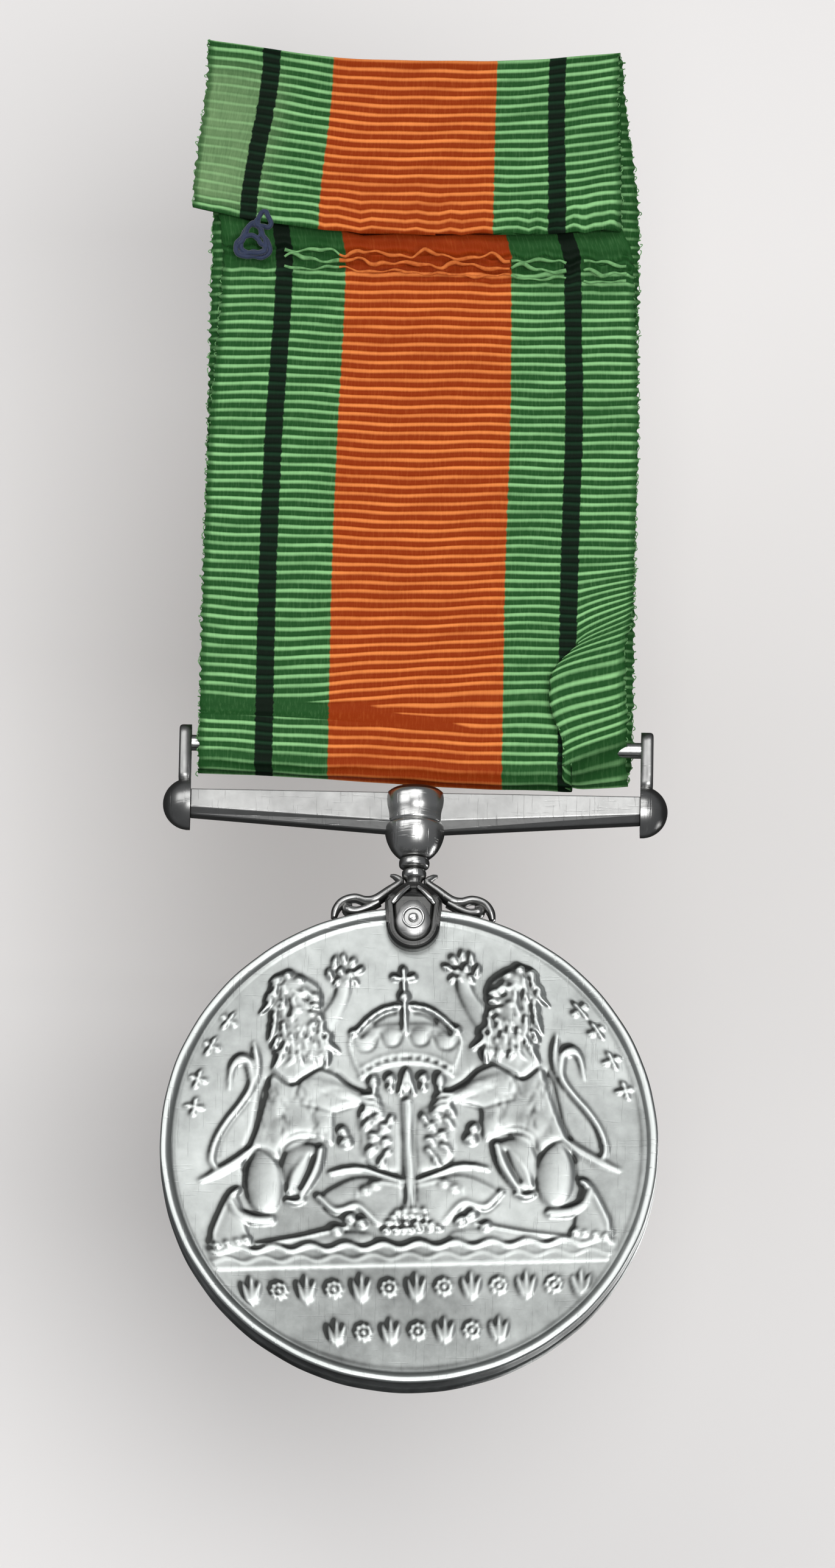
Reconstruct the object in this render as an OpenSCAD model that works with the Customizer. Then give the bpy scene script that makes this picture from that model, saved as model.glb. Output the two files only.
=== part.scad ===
// Service medal on a folded ribbon, hanging from the top fold of the ribbon.
// Millimetres. The origin is the middle of the ribbon's top fold, +Z up, +X to the
// viewer's right, and -Y towards the viewer. The medal hangs below the origin.

/* [Medal disc] */
// Diameter of the struck disc
disc_d = 36; // [33:0.5:38]
// Thickness of the disc over its two rims
disc_t = 2.9; // [2.5:0.1:3.3]
// Width of the raised rim
rim_w = 0.65; // [0.5:0.05:1]
// Depth of the field below the rim on each face
field_drop = 0.42; // [0.2:0.02:0.6]

/* [Claw and rivet] */
// Width of the claw's rounded toe
toe_w = 3.9; // [3.4:0.1:4.4]
// How far the toe reaches down over the disc
toe_reach = 3.3; // [2.8:0.1:3.8]
// Height of the claw's pointed top above the disc
claw_rise = 2.15; // [1.9:0.05:2.3]
// Thickness of the claw over the disc's rim, on each face
claw_wall = 0.55; // [0.4:0.05:0.8]
// Radius of the rivet's shank
rivet_r = 0.36; // [0.3:0.02:0.5]
// Radius of the rivet's peened heads
rivet_head_r = 0.58; // [0.55:0.01:0.7]

/* [Suspender] */
// Distance from the ribbon's top fold down to the ribbon rod
drop = 54.66; // [45:0.01:60]
// Clear length of the slot between the two end posts
slot_l = 32.8; // [32.6:0.1:34]
// Radius of the ribbon rod
rod_r = 0.58; // [0.45:0.01:0.65]
// Width of each end post, along the bar
post_w = 0.9; // [0.8:0.05:1.3]
// Radius of the domes at the ends of the bar
ball_r = 1.9; // [1.7:0.05:2.1]
// Distance from the rod down to the bar's top edge
bar_drop = 3.85; // [3.7:0.05:4.2]
// Depth of the bar from front to back
bar_depth = 2; // [1.8:0.1:2.6]
// Height of the bar's flat front at its ends
bar_end_h = 1.35; // [1.1:0.05:1.7]
// Height of the bar's flat front in the middle
bar_mid_h = 2.2; // [1.8:0.05:2.5]
// Radius of the turned cap over the bar
cap_r = 2.3; // [2.2:0.05:2.4]
// Largest radius of the turned barrel below the bar
barrel_r = 2.2; // [2.1:0.05:2.4]
// Width of the scroll's wire, as seen from the front
scroll_w = 0.5; // [0.4:0.05:0.6]

/* [Ribbon] */
// Width of the ribbon
ribbon_w = 31.8; // [30:0.1:32]
// Thickness of the ribbon over its ribs
ribbon_t = 0.45; // [0.3:0.05:0.5]
// Length of the flap that is folded down over the front
flap_l = 14.7; // [10:0.1:20]
// Slack of the ribbon's loop below the rod
loop_slack = 1; // [0.5:0.1:1.4]

/* [Hidden] */
$fn = 96;

// Levels, from the top fold down
rod_z = -drop;
bar_z = rod_z - bar_drop;
cap_top_z = bar_z + 0.5;
barrel_z = bar_z - bar_mid_h - 0.05;
ring_z = barrel_z - 2.7;
ball_z = rod_z - 4.75;
disc_z = rod_z - 30.84;
disc_r = disc_d / 2;
disc_top_z = disc_z + disc_r;
claw_z = disc_top_z + claw_rise;
rivet_z = disc_top_z - 1;

// Half sizes, across the medal
half_slot = slot_l / 2;
claw_y = disc_t / 2 + claw_wall;
boss_y = claw_y + 0.2;
rivet_y = boss_y + 0.2;
toe_r = toe_w / 2;

// Colours
silver = [0.68, 0.7, 0.7];
worn_silver = [0.52, 0.5, 0.48];
ribbon_green = [0.2, 0.45, 0.24];
navy = [0.12, 0.14, 0.28];

// Turns a flat outline in X and Z into a plate that is centred on Y = 0.
module plate(depth) {
    rotate([90, 0, 0]) linear_extrude(depth, center = true) children();
}

// Turns a flat outline in Y and Z into a bar that is centred on X = 0.
module strip(length) {
    rotate([90, 0, 90]) linear_extrude(length, center = true) children();
}

// A round-ended stroke between two points of a flat outline.
module stroke(a, b, width) {
    run = norm(b - a);
    translate(a) rotate(atan2(b[1] - a[1], b[0] - a[0]))
        translate([0, -width / 2]) square([run, width]);
    translate(a) circle(d = width);
    translate(b) circle(d = width);
}

// ---- Disc ----

// The disc's solid with its raised rims and sunk fields.
module disc_blank() {
    rim_y = disc_t / 2;
    field_y = rim_y - field_drop;
    edge = 0.25;
    step_r = disc_r - rim_w;
    translate([0, 0, disc_z]) rotate([90, 0, 0]) rotate_extrude()
        polygon([[0, -field_y], [step_r - edge, -field_y], [step_r, -rim_y],
                 [disc_r - edge, -rim_y], [disc_r, edge - rim_y],
                 [disc_r, rim_y - edge], [disc_r - edge, rim_y], [step_r, rim_y],
                 [step_r - edge, field_y], [0, field_y]]);
}

module medal_disc() {
    color(silver) difference() {
        disc_blank();
        rivet_shank();
    }
}

// ---- Claw and rivet ----

module rivet_shank() {
    translate([0, 0, rivet_z]) rotate([90, 0, 0])
        cylinder(r = rivet_r, h = 2 * rivet_y, center = true);
}

// Height of the pointed top's flank, for a share of the half width from 0 to 1.
function flank_z(u) =
    claw_z - (claw_rise - 0.4) * (u + 0.08 * sin(360 * u));

// Front outline of the claw: a pointed top, straight shoulders and a round toe.
module claw_outline() {
    shoulder_x = toe_r + 0.13;
    toe_centre_z = disc_top_z - toe_reach + toe_r;
    steps = 8;
    flank = [for (i = [0:steps]) [shoulder_x * i / steps, flank_z(i / steps)]];
    mirrored = [for (i = [steps:-1:1]) [-flank[i][0], flank[i][1]]];
    polygon(concat(flank, [[toe_r, toe_centre_z], [-toe_r, toe_centre_z]], mirrored));
    translate([0, toe_centre_z]) circle(r = toe_r);
}

// Side outline of the claw, which widens from the stem to straddle the disc.
module claw_side() {
    foot_z = disc_top_z - toe_reach - 0.1;
    spread_z = disc_top_z + 0.6;
    polygon([[-0.75, claw_z + 0.1], [0.75, claw_z + 0.1], [claw_y, spread_z],
             [claw_y, foot_z], [-claw_y, foot_z], [-claw_y, spread_z]]);
}

module claw_solid() {
    intersection() {
        plate(2 * claw_y) claw_outline();
        strip(2 * toe_w) claw_side();
    }
}

// Raised boss around the rivet, on both faces of the claw.
module claw_boss() {
    plate(2 * boss_y) translate([0, rivet_z]) {
        translate([0, -0.25]) circle(r = 1.2);
        rotate(45) square(1.2);
    }
}

module claw() {
    color(worn_silver) difference() {
        union() {
            claw_solid();
            claw_boss();
        }
        disc_blank();
        rivet_shank();
    }
}

module claw_rivet() {
    head_l = rivet_y - boss_y;
    color(silver) union() {
        rivet_shank();
        for (side = [-1, 1])
            translate([0, side * (boss_y + head_l / 2), rivet_z]) rotate([90, 0, 0])
                cylinder(r = rivet_head_r, h = head_l, center = true);
    }
}

// ---- Scrolls ----

// Right-hand scroll: a spur, an arm that follows the claw, and a loop on the rim.
module scroll_outline() {
    spur = [1.7, claw_z + 0.75];
    elbow = [0.98, claw_z + 0.1];
    arm = [[2.4, disc_top_z + 1.15], [3.1, disc_top_z + 0.85],
           [4.3, disc_top_z + 1.1], [5.2, disc_top_z + 0.75],
           [5.75, disc_top_z - 0.2]];
    eye = [4.6, disc_top_z + 0.1];
    path = concat([spur, elbow], arm);
    for (i = [1:len(path) - 1]) stroke(path[i - 1], path[i], scroll_w);
    translate(eye) circle(r = 0.48);
    stroke(eye, arm[0], scroll_w);
}

module scroll() {
    color(worn_silver) difference() {
        plate(1.4) scroll_outline();
        translate([0, 0, disc_z]) rotate([90, 0, 0])
            cylinder(r = disc_r, h = disc_t, center = true, $fn = 192);
        claw_solid();
        stem_solid();
    }
}

module scroll_right() { scroll(); }

module scroll_left() { mirror([1, 0, 0]) scroll(); }

// ---- Stem and cap ----

// Turned profile below the bar: barrel, ring, bead and the neck into the claw.
module stem_solid() {
    neck_r = 0.6;
    ring_r = 0.95;
    bead_r = 0.72;
    rotate_extrude()
        polygon([[0, barrel_z], [barrel_r - 0.3, barrel_z], [barrel_r - 0.06, barrel_z - 0.25],
                 [barrel_r, barrel_z - 0.6], [barrel_r - 0.04, barrel_z - 1.2],
                 [barrel_r - 0.25, barrel_z - 1.75], [1.35, barrel_z - 2.3],
                 [neck_r + 0.1, ring_z + 0.12], [ring_r - 0.12, ring_z + 0.08],
                 [ring_r, ring_z - 0.1], [ring_r, ring_z - 0.4],
                 [ring_r - 0.15, ring_z - 0.6], [neck_r, ring_z - 0.68],
                 [bead_r, ring_z - 0.85], [bead_r, ring_z - 1.3],
                 [neck_r, ring_z - 1.65], [neck_r, claw_z - 0.5], [0, claw_z - 0.5]]);
}

module stem() {
    color(worn_silver) difference() {
        stem_solid();
        claw_solid();
        bar_solid();
    }
}

module stem_cap() {
    color(worn_silver) difference() {
        rotate_extrude()
            polygon([[0, cap_top_z], [cap_r - 0.75, cap_top_z], [cap_r - 0.3, cap_top_z - 0.2],
                     [cap_r, cap_top_z - 0.65], [cap_r, cap_top_z - 1.35],
                     [cap_r - 0.12, cap_top_z - 1.9], [cap_r - 0.16, barrel_z],
                     [0, barrel_z]]);
        bar_solid();
    }
}

// ---- Bar, posts, domes and rod ----

// Cross-section of the bar for a given height of its flat front.
module bar_section(front_h) {
    half = bar_depth / 2;
    under = 0.5 * half;
    bevel_h = 0.35 * front_h;
    polygon([[-half, bar_z], [half, bar_z], [half, bar_z - front_h],
             [under, bar_z - front_h - bevel_h], [-under, bar_z - front_h - bevel_h],
             [-half, bar_z - front_h]]);
}

// The bar tapers from the stem out to both ends.
module bar_solid() {
    slice = 0.02;
    for (side = [-1, 1]) hull() {
        translate([side * (half_slot - slice / 2), 0, 0]) strip(slice) bar_section(bar_end_h);
        strip(slice) bar_section(bar_mid_h);
    }
}

module suspender_bar() { color(worn_silver) bar_solid(); }

// A dome with its flat face against the end of the bar.
module ball_solid(side) {
    base = 0.1;
    translate([side * half_slot, 0, ball_z]) rotate([0, side * 90, 0]) rotate_extrude()
        intersection() {
            translate([0, base]) circle(r = ball_r);
            square([ball_r, ball_r + base]);
        }
}

module end_ball_left() { color(worn_silver) ball_solid(-1); }

module end_ball_right() { color(worn_silver) ball_solid(1); }

// A flat tab with a round top that stands on the dome and holds the rod.
module post(side) {
    top_r = 0.9;
    top_z = rod_z + 0.47;
    color(worn_silver) translate([side * (half_slot + post_w / 2), 0, 0]) strip(post_w)
        difference() {
            union() {
                translate([0, top_z]) circle(r = top_r);
                translate([-top_r, ball_z]) square([2 * top_r, top_z - ball_z]);
            }
            translate([0, ball_z]) circle(r = ball_r);
        }
}

module end_post_left() { post(-1); }

module end_post_right() { post(1); }

module ribbon_rod() {
    color(silver) translate([0, 0, rod_z]) rotate([0, 90, 0])
        cylinder(r = rod_r, h = slot_l, center = true);
}

// ---- Ribbon and thread ----

loop_in_r = rod_r + 0.27;
loop_out_r = loop_in_r + ribbon_t;
fold_in_r = 0.325;
fold_out_r = fold_in_r + ribbon_t;
back_y = loop_out_r;
fold_y = back_y - fold_out_r;

// Points along an arc from one angle to another.
function arc(centre, r, from, to, steps = 24) =
    [for (i = [0:steps]) let (a = from + (to - from) * i / steps)
        centre + r * [cos(a), sin(a)]];

// One long strip: hem, front panel, loop round the rod, back panel, fold and flap.
module ribbon() {
    hem_z = -3.2;
    lean_z = -18;
    hem_y = back_y - 2 * ribbon_t - 0.1;
    loop = [0, rod_z - loop_slack];
    fold = [fold_y, -fold_out_r];
    outside = concat(
        [[hem_y, hem_z], [hem_y, lean_z], [-loop_out_r, rod_z]],
        arc(loop, loop_out_r, 180, 360), arc(fold, fold_out_r, 0, 180),
        [[fold_y - fold_out_r, -flap_l]]);
    inside = concat(
        [[fold_y - fold_in_r, -flap_l]],
        arc(fold, fold_in_r, 180, 0), arc(loop, loop_in_r, 360, 180),
        [[-loop_in_r, rod_z], [hem_y + ribbon_t, lean_z], [hem_y + ribbon_t, hem_z]]);
    color(ribbon_green) strip(ribbon_w) polygon(concat(outside, inside));
}

// A row of running stitches pulled down into the back, through every layer.
module seam_stitches() {
    count = 8;
    pitch = (ribbon_w - 3) / count;
    stitch_l = 0.6 * pitch;
    thread_r = 0.13;
    color(navy) for (i = [0:count - 1])
        translate([(i - (count - 1) / 2) * pitch, back_y - thread_r, 0.5 - flap_l]) {
            rotate([0, 90, 0]) cylinder(r = thread_r, h = stitch_l, center = true);
            for (end = [-1, 1]) translate([end * stitch_l / 2, 0, 0]) sphere(r = thread_r);
        }
}

// The tied-off end of the sewing thread: two small loops on the front, at the left.
module thread_knot() {
    thread_r = 0.17;
    knot_y = fold_y - fold_out_r - thread_r;
    color(navy) for (ring = [[-12, -13.9, 0.55], [-12.8, -15.85, 0.95]])
        translate([ring[0], knot_y, ring[1]]) rotate([90, 0, 0])
            rotate_extrude() translate([ring[2], 0]) circle(r = thread_r, $fn = 32);
}

medal_disc();
claw();
claw_rivet();
scroll_left();
scroll_right();
stem();
stem_cap();
suspender_bar();
end_post_left();
end_post_right();
end_ball_left();
end_ball_right();
ribbon_rod();
ribbon();
seam_stitches();
thread_knot();
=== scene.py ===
import math
import random

import bmesh
import bpy
import numpy as np
from mathutils import Matrix, Vector


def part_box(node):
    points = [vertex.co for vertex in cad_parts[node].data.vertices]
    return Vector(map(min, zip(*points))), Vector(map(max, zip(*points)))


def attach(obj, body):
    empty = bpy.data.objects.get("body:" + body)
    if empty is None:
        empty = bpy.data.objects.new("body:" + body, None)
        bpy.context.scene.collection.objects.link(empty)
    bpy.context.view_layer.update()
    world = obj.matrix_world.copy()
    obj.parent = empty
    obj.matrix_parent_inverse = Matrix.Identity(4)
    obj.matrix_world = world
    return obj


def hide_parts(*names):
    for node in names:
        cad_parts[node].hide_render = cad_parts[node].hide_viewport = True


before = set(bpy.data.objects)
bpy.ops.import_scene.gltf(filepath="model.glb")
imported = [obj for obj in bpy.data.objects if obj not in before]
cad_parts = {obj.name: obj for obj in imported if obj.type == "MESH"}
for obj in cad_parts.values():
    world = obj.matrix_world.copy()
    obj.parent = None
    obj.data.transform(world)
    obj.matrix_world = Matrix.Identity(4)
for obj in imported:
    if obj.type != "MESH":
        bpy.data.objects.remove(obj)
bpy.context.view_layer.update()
mm = 0.001
middleZ = -50 * mm  # half way down the hanging medal

cameraLook = {
    "distance": 1083.2 * mm,
    "tiltUp": 19.34,
    "roll": 1.05,
    "lens": 340,
    "sensor": 36,
    "farEnd": 20,
    "shiftY": -160 / 2576,
}


def makeCamera(look):
    data = bpy.data.cameras.new("camera")
    data.lens = look["lens"]
    data.sensor_width = look["sensor"]
    data.shift_y = look["shiftY"]
    data.clip_end = look["farEnd"]
    camera = bpy.data.objects.new("camera", data)
    bpy.context.scene.collection.objects.link(camera)
    turn = Matrix.Rotation(math.radians(90 + look["tiltUp"]), 4, "X")
    roll = Matrix.Rotation(math.radians(look["roll"]), 4, "Z")
    back = turn @ Vector((0, 0, look["distance"]))
    camera.matrix_world = Matrix.Translation(Vector((0, 0, middleZ)) + back) @ turn @ roll
    bpy.context.scene.camera = camera


makeCamera(cameraLook)


# One output socket of a material's nodes, with operators that add Math nodes.
class Link:
    def __init__(self, paint, socket):
        self.paint = paint
        self.socket = socket

    def maths(self, operation, *values):
        return self.paint.node("ShaderNodeMath", {"operation": operation}, *values)

    def __add__(self, other):
        return self.maths("ADD", self, other)

    def __radd__(self, other):
        return self.maths("ADD", other, self)

    def __sub__(self, other):
        return self.maths("SUBTRACT", self, other)

    def __rsub__(self, other):
        return self.maths("SUBTRACT", other, self)

    def __mul__(self, other):
        return self.maths("MULTIPLY", self, other)

    def __rmul__(self, other):
        return self.maths("MULTIPLY", other, self)

    def above(self, edge, width):
        # 0 below the edge and 1 above it, with a soft step this wide
        return self.paint.node("ShaderNodeMapRange", {"interpolation_type": "SMOOTHSTEP"},
                               self, edge - width / 2, edge + width / 2, 0.0, 1.0)


# A material and its nodes. node() adds any node: its type, its settings, then its inputs
# in order, or by name.
class Paint:
    def __init__(self, name, **constants):
        self.material = bpy.data.materials.new(name)
        self.material.use_nodes = True
        self.tree = self.material.node_tree
        self.shader = self.tree.nodes["Principled BSDF"]
        for socket, value in constants.items():
            self.shader.inputs[socket.replace("_", " ")].default_value = value

    def node(self, kind, settings, *values, output=0, **named):
        made = self.tree.nodes.new(kind)
        for key, value in settings.items():
            setattr(made, key, value)
        pairs = list(zip(made.inputs, values))
        pairs += [(made.inputs[key.replace("_", " ")], value) for key, value in named.items()]
        for socket, value in pairs:
            self.feed(socket, value)
        return Link(self, made.outputs[output])

    def feed(self, socket, value):
        if isinstance(value, Link):
            self.tree.links.new(value.socket, socket)
        else:
            socket.default_value = value

    def clamped(self, first, second=0.0):
        return self.node("ShaderNodeMath", {"operation": "ADD", "use_clamp": True}, first, second)

    def surface(self, **links):
        for socket, link in links.items():
            self.feed(self.shader.inputs[socket.replace("_", " ")], link)

    def place(self):
        return self.node("ShaderNodeTexCoord", {}, output="Object")

    def uv(self, axis):
        ends = self.node("ShaderNodeUVMap", {"uv_map": "cloth"})
        return self.node("ShaderNodeSeparateXYZ", {}, ends, output=axis)

    def attribute(self, name):
        return self.node("ShaderNodeAttribute", {"attribute_name": name}, output="Fac")

    def noise(self, where, scale, detail=2.0, rough=0.5, **settings):
        return self.node("ShaderNodeTexNoise", settings, Vector=where, Scale=scale,
                         Detail=detail, Roughness=rough)

    def mix(self, share, first, second):
        made = self.tree.nodes.new("ShaderNodeMix")
        made.data_type = "RGBA"
        for key, value in ((0, share), (6, first), (7, second)):
            if isinstance(value, tuple) and len(value) == 3:
                value = (*value, 1)
            self.feed(made.inputs[key], value)
        return Link(self, made.outputs[2])

    def bump(self, height, strength, distance):
        return self.node("ShaderNodeBump", {}, Strength=strength, Distance=distance,
                         Height=height)


def addPiece(name, mesh, body, material, replaced=(), smooth=True):
    piece = bpy.data.objects.new(name, mesh)
    bpy.context.scene.collection.objects.link(piece)
    mesh.materials.append(material)
    mesh.shade_smooth() if smooth else mesh.shade_flat()
    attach(piece, body)
    if replaced:
        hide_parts(*replaced)
    return piece


def meshFrom(bm, name):
    mesh = bpy.data.meshes.new(name)
    bm.to_mesh(mesh)
    bm.free()
    return mesh


backdropLook = {
    "y": 55 * mm,
    "size": 0.5,
    "colour": (0.86, 0.84, 0.83),
    "cardGap": 41 * mm,
    "cardRise": 478 * mm,
    "cardColour": (0.02, 0.02, 0.02),
}


def makeBackdrop(look):
    bm = bmesh.new()
    turn = Matrix.Rotation(math.pi / 2, 4, "X")
    bmesh.ops.create_grid(bm, x_segments=1, y_segments=1, size=look["size"],
                          matrix=Matrix.Translation((0, look["y"], middleZ)) @ turn)
    mesh = meshFrom(bm, "backdrop")
    backdrop = bpy.data.objects.new("backdrop", mesh)
    bpy.context.scene.collection.objects.link(backdrop)
    paint = Paint("backdropPaper", Roughness=0.95)
    paint.shader.inputs["Base Color"].default_value = (*look["colour"], 1)
    # The paper shows only from its front, so that it never hides the medal's back.
    clear = paint.node("ShaderNodeBsdfTransparent", {})
    behind = paint.node("ShaderNodeNewGeometry", {}, output="Backfacing")
    both = paint.node("ShaderNodeMixShader", {}, behind, Link(paint, paint.shader.outputs[0]),
                      clear)
    paint.feed(paint.tree.nodes["Material Output"].inputs[0], both)
    mesh.materials.append(paint.material)
    backdrop.visible_glossy = False

    # A dark card close behind the ribbon and suspender, seen only in the metal's reflections.
    shape = mesh.copy()
    shape.transform(Matrix.Translation((0, -look["cardGap"], look["cardRise"])))
    card = bpy.data.objects.new("reflection_card", shape)
    bpy.context.scene.collection.objects.link(card)
    paint = Paint("darkCard", Roughness=1.0)
    paint.shader.inputs["Base Color"].default_value = (*look["cardColour"], 1)
    shape.materials.clear()
    shape.materials.append(paint.material)
    card.visible_camera = card.visible_diffuse = card.visible_shadow = False


lightLook = {
    "lamps": {
        "key": {"at": (0.2, -1.0, -0.36), "size": (0.6, 0.5), "power": 6.6},
        "fill": {"at": (-0.6, -0.75, 0.2), "size": (0.6, 0.6), "power": 2.4},
        "front": {"at": (0.02, -1.0, 0.4), "size": (0.75, 0.6), "power": 3.4},
        "back": {"at": (0.62, 0.72, -0.16), "size": (0.8, 0.8), "power": 14},
    },
    "worldColour": (0.8, 0.82, 0.85),
    "worldPower": 0.2,
}


def makeLights(look):
    aim = Vector((0, 0, middleZ))
    for name, light in look["lamps"].items():
        data = bpy.data.lights.new(name, "AREA")
        data.shape = "RECTANGLE"
        data.size, data.size_y = light["size"]
        data.energy = light["power"]
        lamp = bpy.data.objects.new(name, data)
        lamp.location = light["at"]
        lamp.rotation_euler = (aim - lamp.location).to_track_quat("-Z", "Y").to_euler()
        bpy.context.scene.collection.objects.link(lamp)
    world = bpy.data.worlds.new("studio")
    bpy.context.scene.world = world
    world.use_nodes = True
    sky = world.node_tree.nodes["Background"]
    sky.inputs[0].default_value = (*look["worldColour"], 1)
    sky.inputs[1].default_value = look["worldPower"]


makeBackdrop(backdropLook)
makeLights(lightLook)
bpy.context.scene.view_settings.view_transform = "Standard"
print("camera, backdrop and lights are set")

rodLow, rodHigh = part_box("ribbon_rod")
rodZ = (rodLow.z + rodHigh.z) / 2 / mm

ribbonLook = {
    "width": 31.8,
    "thickness": 0.34,
    "ribHeight": 0.17,
    "pitch": 0.7,
    "ribPhases": (0.0, 0.2, 0.38, 0.5, 0.62, 0.8),
    "hemZ": -3.2,
    "leanZ": -18.0,
    "loopSlack": 1.7,
    "loopRadius": 1.075,
    "foldRadius": 0.55,
    "foldTopZ": -0.225,
    "flapEndZ": -13.9,
    "backCells": 20,
    "creaseZ": -52.3,
    "tuck": 1.2,
    "seamZ": -16.3,
    "selvedgeFrom": 15.45,
    "hiddenLength": 9,
    "wander": ((0.10, 0.21, 0.05, 1), (0.07, 0.47, -0.13, 0), (0.03, 1.3, 0.9, 0)),
    "cornerLift": 0.32,
    "topHollow": 1.05,
    "flapTaper": 0.045,
    "flapShift": 1.0,
    "flapWaist": 0.75,
    "flapSway": ((0.12, 0.35, 0.5, 0),),
    "flapCurl": 0.18,
    "curlWaves": ((0.10, 2.3, 0, 0), (0.12, 0.9, 0, 2)),
    "lipWaves": ((0.13, 2.6, 0, 0.6), (0.07, 4.7, 0, 0)),
    "lipRise": 0.3,
    "lipDrop": 0.35,
    "lipRoll": 0.16,
    "frontShift": 0.25,
    "frontTaper": 0.037,
    "frontSway": ((0.2, 0.19, 0.11, 0.4),),
    "seamTilt": 0.025,
    "seamWaves": ((0.10, 2.2, 0, 0), (0.06, 3.7, 0, 1)),
    "puckerWaves": ((0.13, 2.2, 0, 0.5), (0.07, 5.1, 0, 0)),
    "seamDepths": ((0.46, 0, 0.30), (-0.34, 0.8, 0.35), (0.20, -0.9, 0.4)),
    "lapWidth": 2.6,
    "lapDepth": 0.95,
    "gatherRise": 3.0,
}


def soft(low, high, x):
    # 0 below low, 1 above high, with smooth ends
    t = np.clip((x - low) / (high - low), 0, 1)
    return t * t * (3 - 2 * t)


def bell(x, width):
    return np.exp(-((x / width) ** 2))


def waves(rows, across, along=0):
    # Sine waves: for each a height, how fast it turns across and along the cloth, a phase.
    return sum(high * np.sin(turnX * across + turnZ * along + phase)
               for high, turnX, turnZ, phase in rows)


# The strip's middle line in Y and Z, from the hidden hem, down the front, round the rod,
# up the back, over the top and down the flap.
def ribbonLine(look):
    backY = look["loopRadius"]
    foldY = backY - look["foldRadius"]
    loopZ = rodZ - look["loopSlack"]
    foldZ = look["foldTopZ"] - look["foldRadius"]
    return [
        ("line", (foldY, look["hemZ"]), (foldY, look["leanZ"])),
        ("line", (foldY, look["leanZ"]), (-backY, rodZ)),
        ("line", (-backY, rodZ), (-backY, loopZ)),
        ("arc", (0, loopZ), look["loopRadius"], math.pi, 2 * math.pi),
        ("line", (backY, loopZ), (backY, foldZ)),
        ("arc", (foldY, foldZ), look["foldRadius"], 0, math.pi),
        ("line", (foldY - look["foldRadius"], foldZ),
         (foldY - look["foldRadius"], look["flapEndZ"])),
    ]


def runLength(run):
    if run[0] == "line":
        return math.dist(run[1], run[2])
    return run[2] * (run[4] - run[3])


# Place and outward direction in Y and Z at each distance along the strip.
def alongRibbon(line, distance):
    y, z, outY, outZ = (np.zeros_like(distance) for _ in range(4))
    start = 0.0
    for i, run in enumerate(line):
        length = runLength(run)
        last = i == len(line) - 1
        here = (distance >= start) & ((distance <= start + length) | last)
        t = (distance[here] - start) / length
        if run[0] == "line":
            dy, dz = (run[2][0] - run[1][0]) / length, (run[2][1] - run[1][1]) / length
            y[here] = run[1][0] + dy * length * t
            z[here] = run[1][1] + dz * length * t
            outY[here], outZ[here] = dz, -dy
        else:
            angle = run[3] + (run[4] - run[3]) * t
            y[here] = run[1][0] + run[2] * np.cos(angle)
            z[here] = run[1][1] + run[2] * np.sin(angle)
            outY[here], outZ[here] = np.cos(angle), np.sin(angle)
        start += length
    return y, z, outY, outZ


# Places across the strip's outer face, closer together where the right edge is pinched.
def acrossRibbon(look):
    half = look["width"] / 2
    face = np.concatenate([np.linspace(-half, 9, 31)[:-1], np.linspace(9, half, 24)])
    back = np.linspace(half, -half, look["backCells"] + 1)[1:-1]
    middle = len(back) // 2
    ring = [(x, -1.0) for x in back[middle:]] + [(-half, 0.0)]
    ring += [(x, 1.0) for x in face] + [(half, 0.0)]
    ring += [(x, -1.0) for x in back[: middle + 1]]
    return np.array(ring)


def ribbonRows(look, length):
    rows = []
    count = int(length / look["pitch"])
    pitch = length / count
    for rib in range(count):
        hidden = rib * pitch < look["hiddenLength"]
        for phase in look["ribPhases"]:
            if not hidden or phase in (0.0, 0.5):
                rows.append((rib + phase) * pitch)
    return np.array(rows + [length]), pitch


# How high the rib stands, 0 in the valleys and 1 on the ridges. Two ribs are pressed flat
# in the crease above the rod, and the flap's left end is worn. Under and just below the
# flap's end and near the loop's foot the ribs are lowered, which also paints the cloth
# darker there as painted shade.
def ribShape(look, across, distance, pitch, z, onFront, onFlap):
    ridge = (0.5 - 0.5 * np.cos(2 * np.pi * distance / pitch)) ** 1.2
    tuck = np.clip((z - look["creaseZ"]) / look["tuck"], -1.5, 1.5)
    opened = 1 - 2.2 * soft(-11, 8, across) + 0.12 * np.sin(1.1 * across)
    pressed = onFront * soft(-1.1, -0.8, tuck) * (1 - soft(opened - 0.15, opened + 0.2, tuck))
    uneven = (0.12 * np.sin(across * 0.9 + distance * 3.1) * np.sin(across * 0.37 - distance)
              + 0.14 * np.sin(distance * 7.9 / pitch) * np.sin(0.23 * across + distance * 1.7))
    flat = np.clip(1.6 * pressed, 0, 1) + 0.3 * wornShare(across, -z, onFlap)
    # Painted shade: the ribs are lowered and the cloth painted darker under and just below the
    # flap's end, and near the loop's foot.
    gap = onFront * soft(look["flapEndZ"] - 3.6, look["flapEndZ"] - 3.0, z)
    foot = rodZ - look["loopSlack"] - look["loopRadius"]
    under = onFront * (1 - soft(foot + 0.5, foot + 1.7, z))
    return (ridge * (1 - np.clip(flat, 0, 1)) * (0.9 + uneven) * (1 - 0.85 * gap)
            * (1 - 0.4 * under))


def wornShare(across, depth, onFlap):
    # The flap is rubbed smooth and pale at its left end.
    return onFlap * soft(-8.5, -12.5, across) * soft(0.5, 4, depth) * (1 - soft(12, 14, depth))


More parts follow.
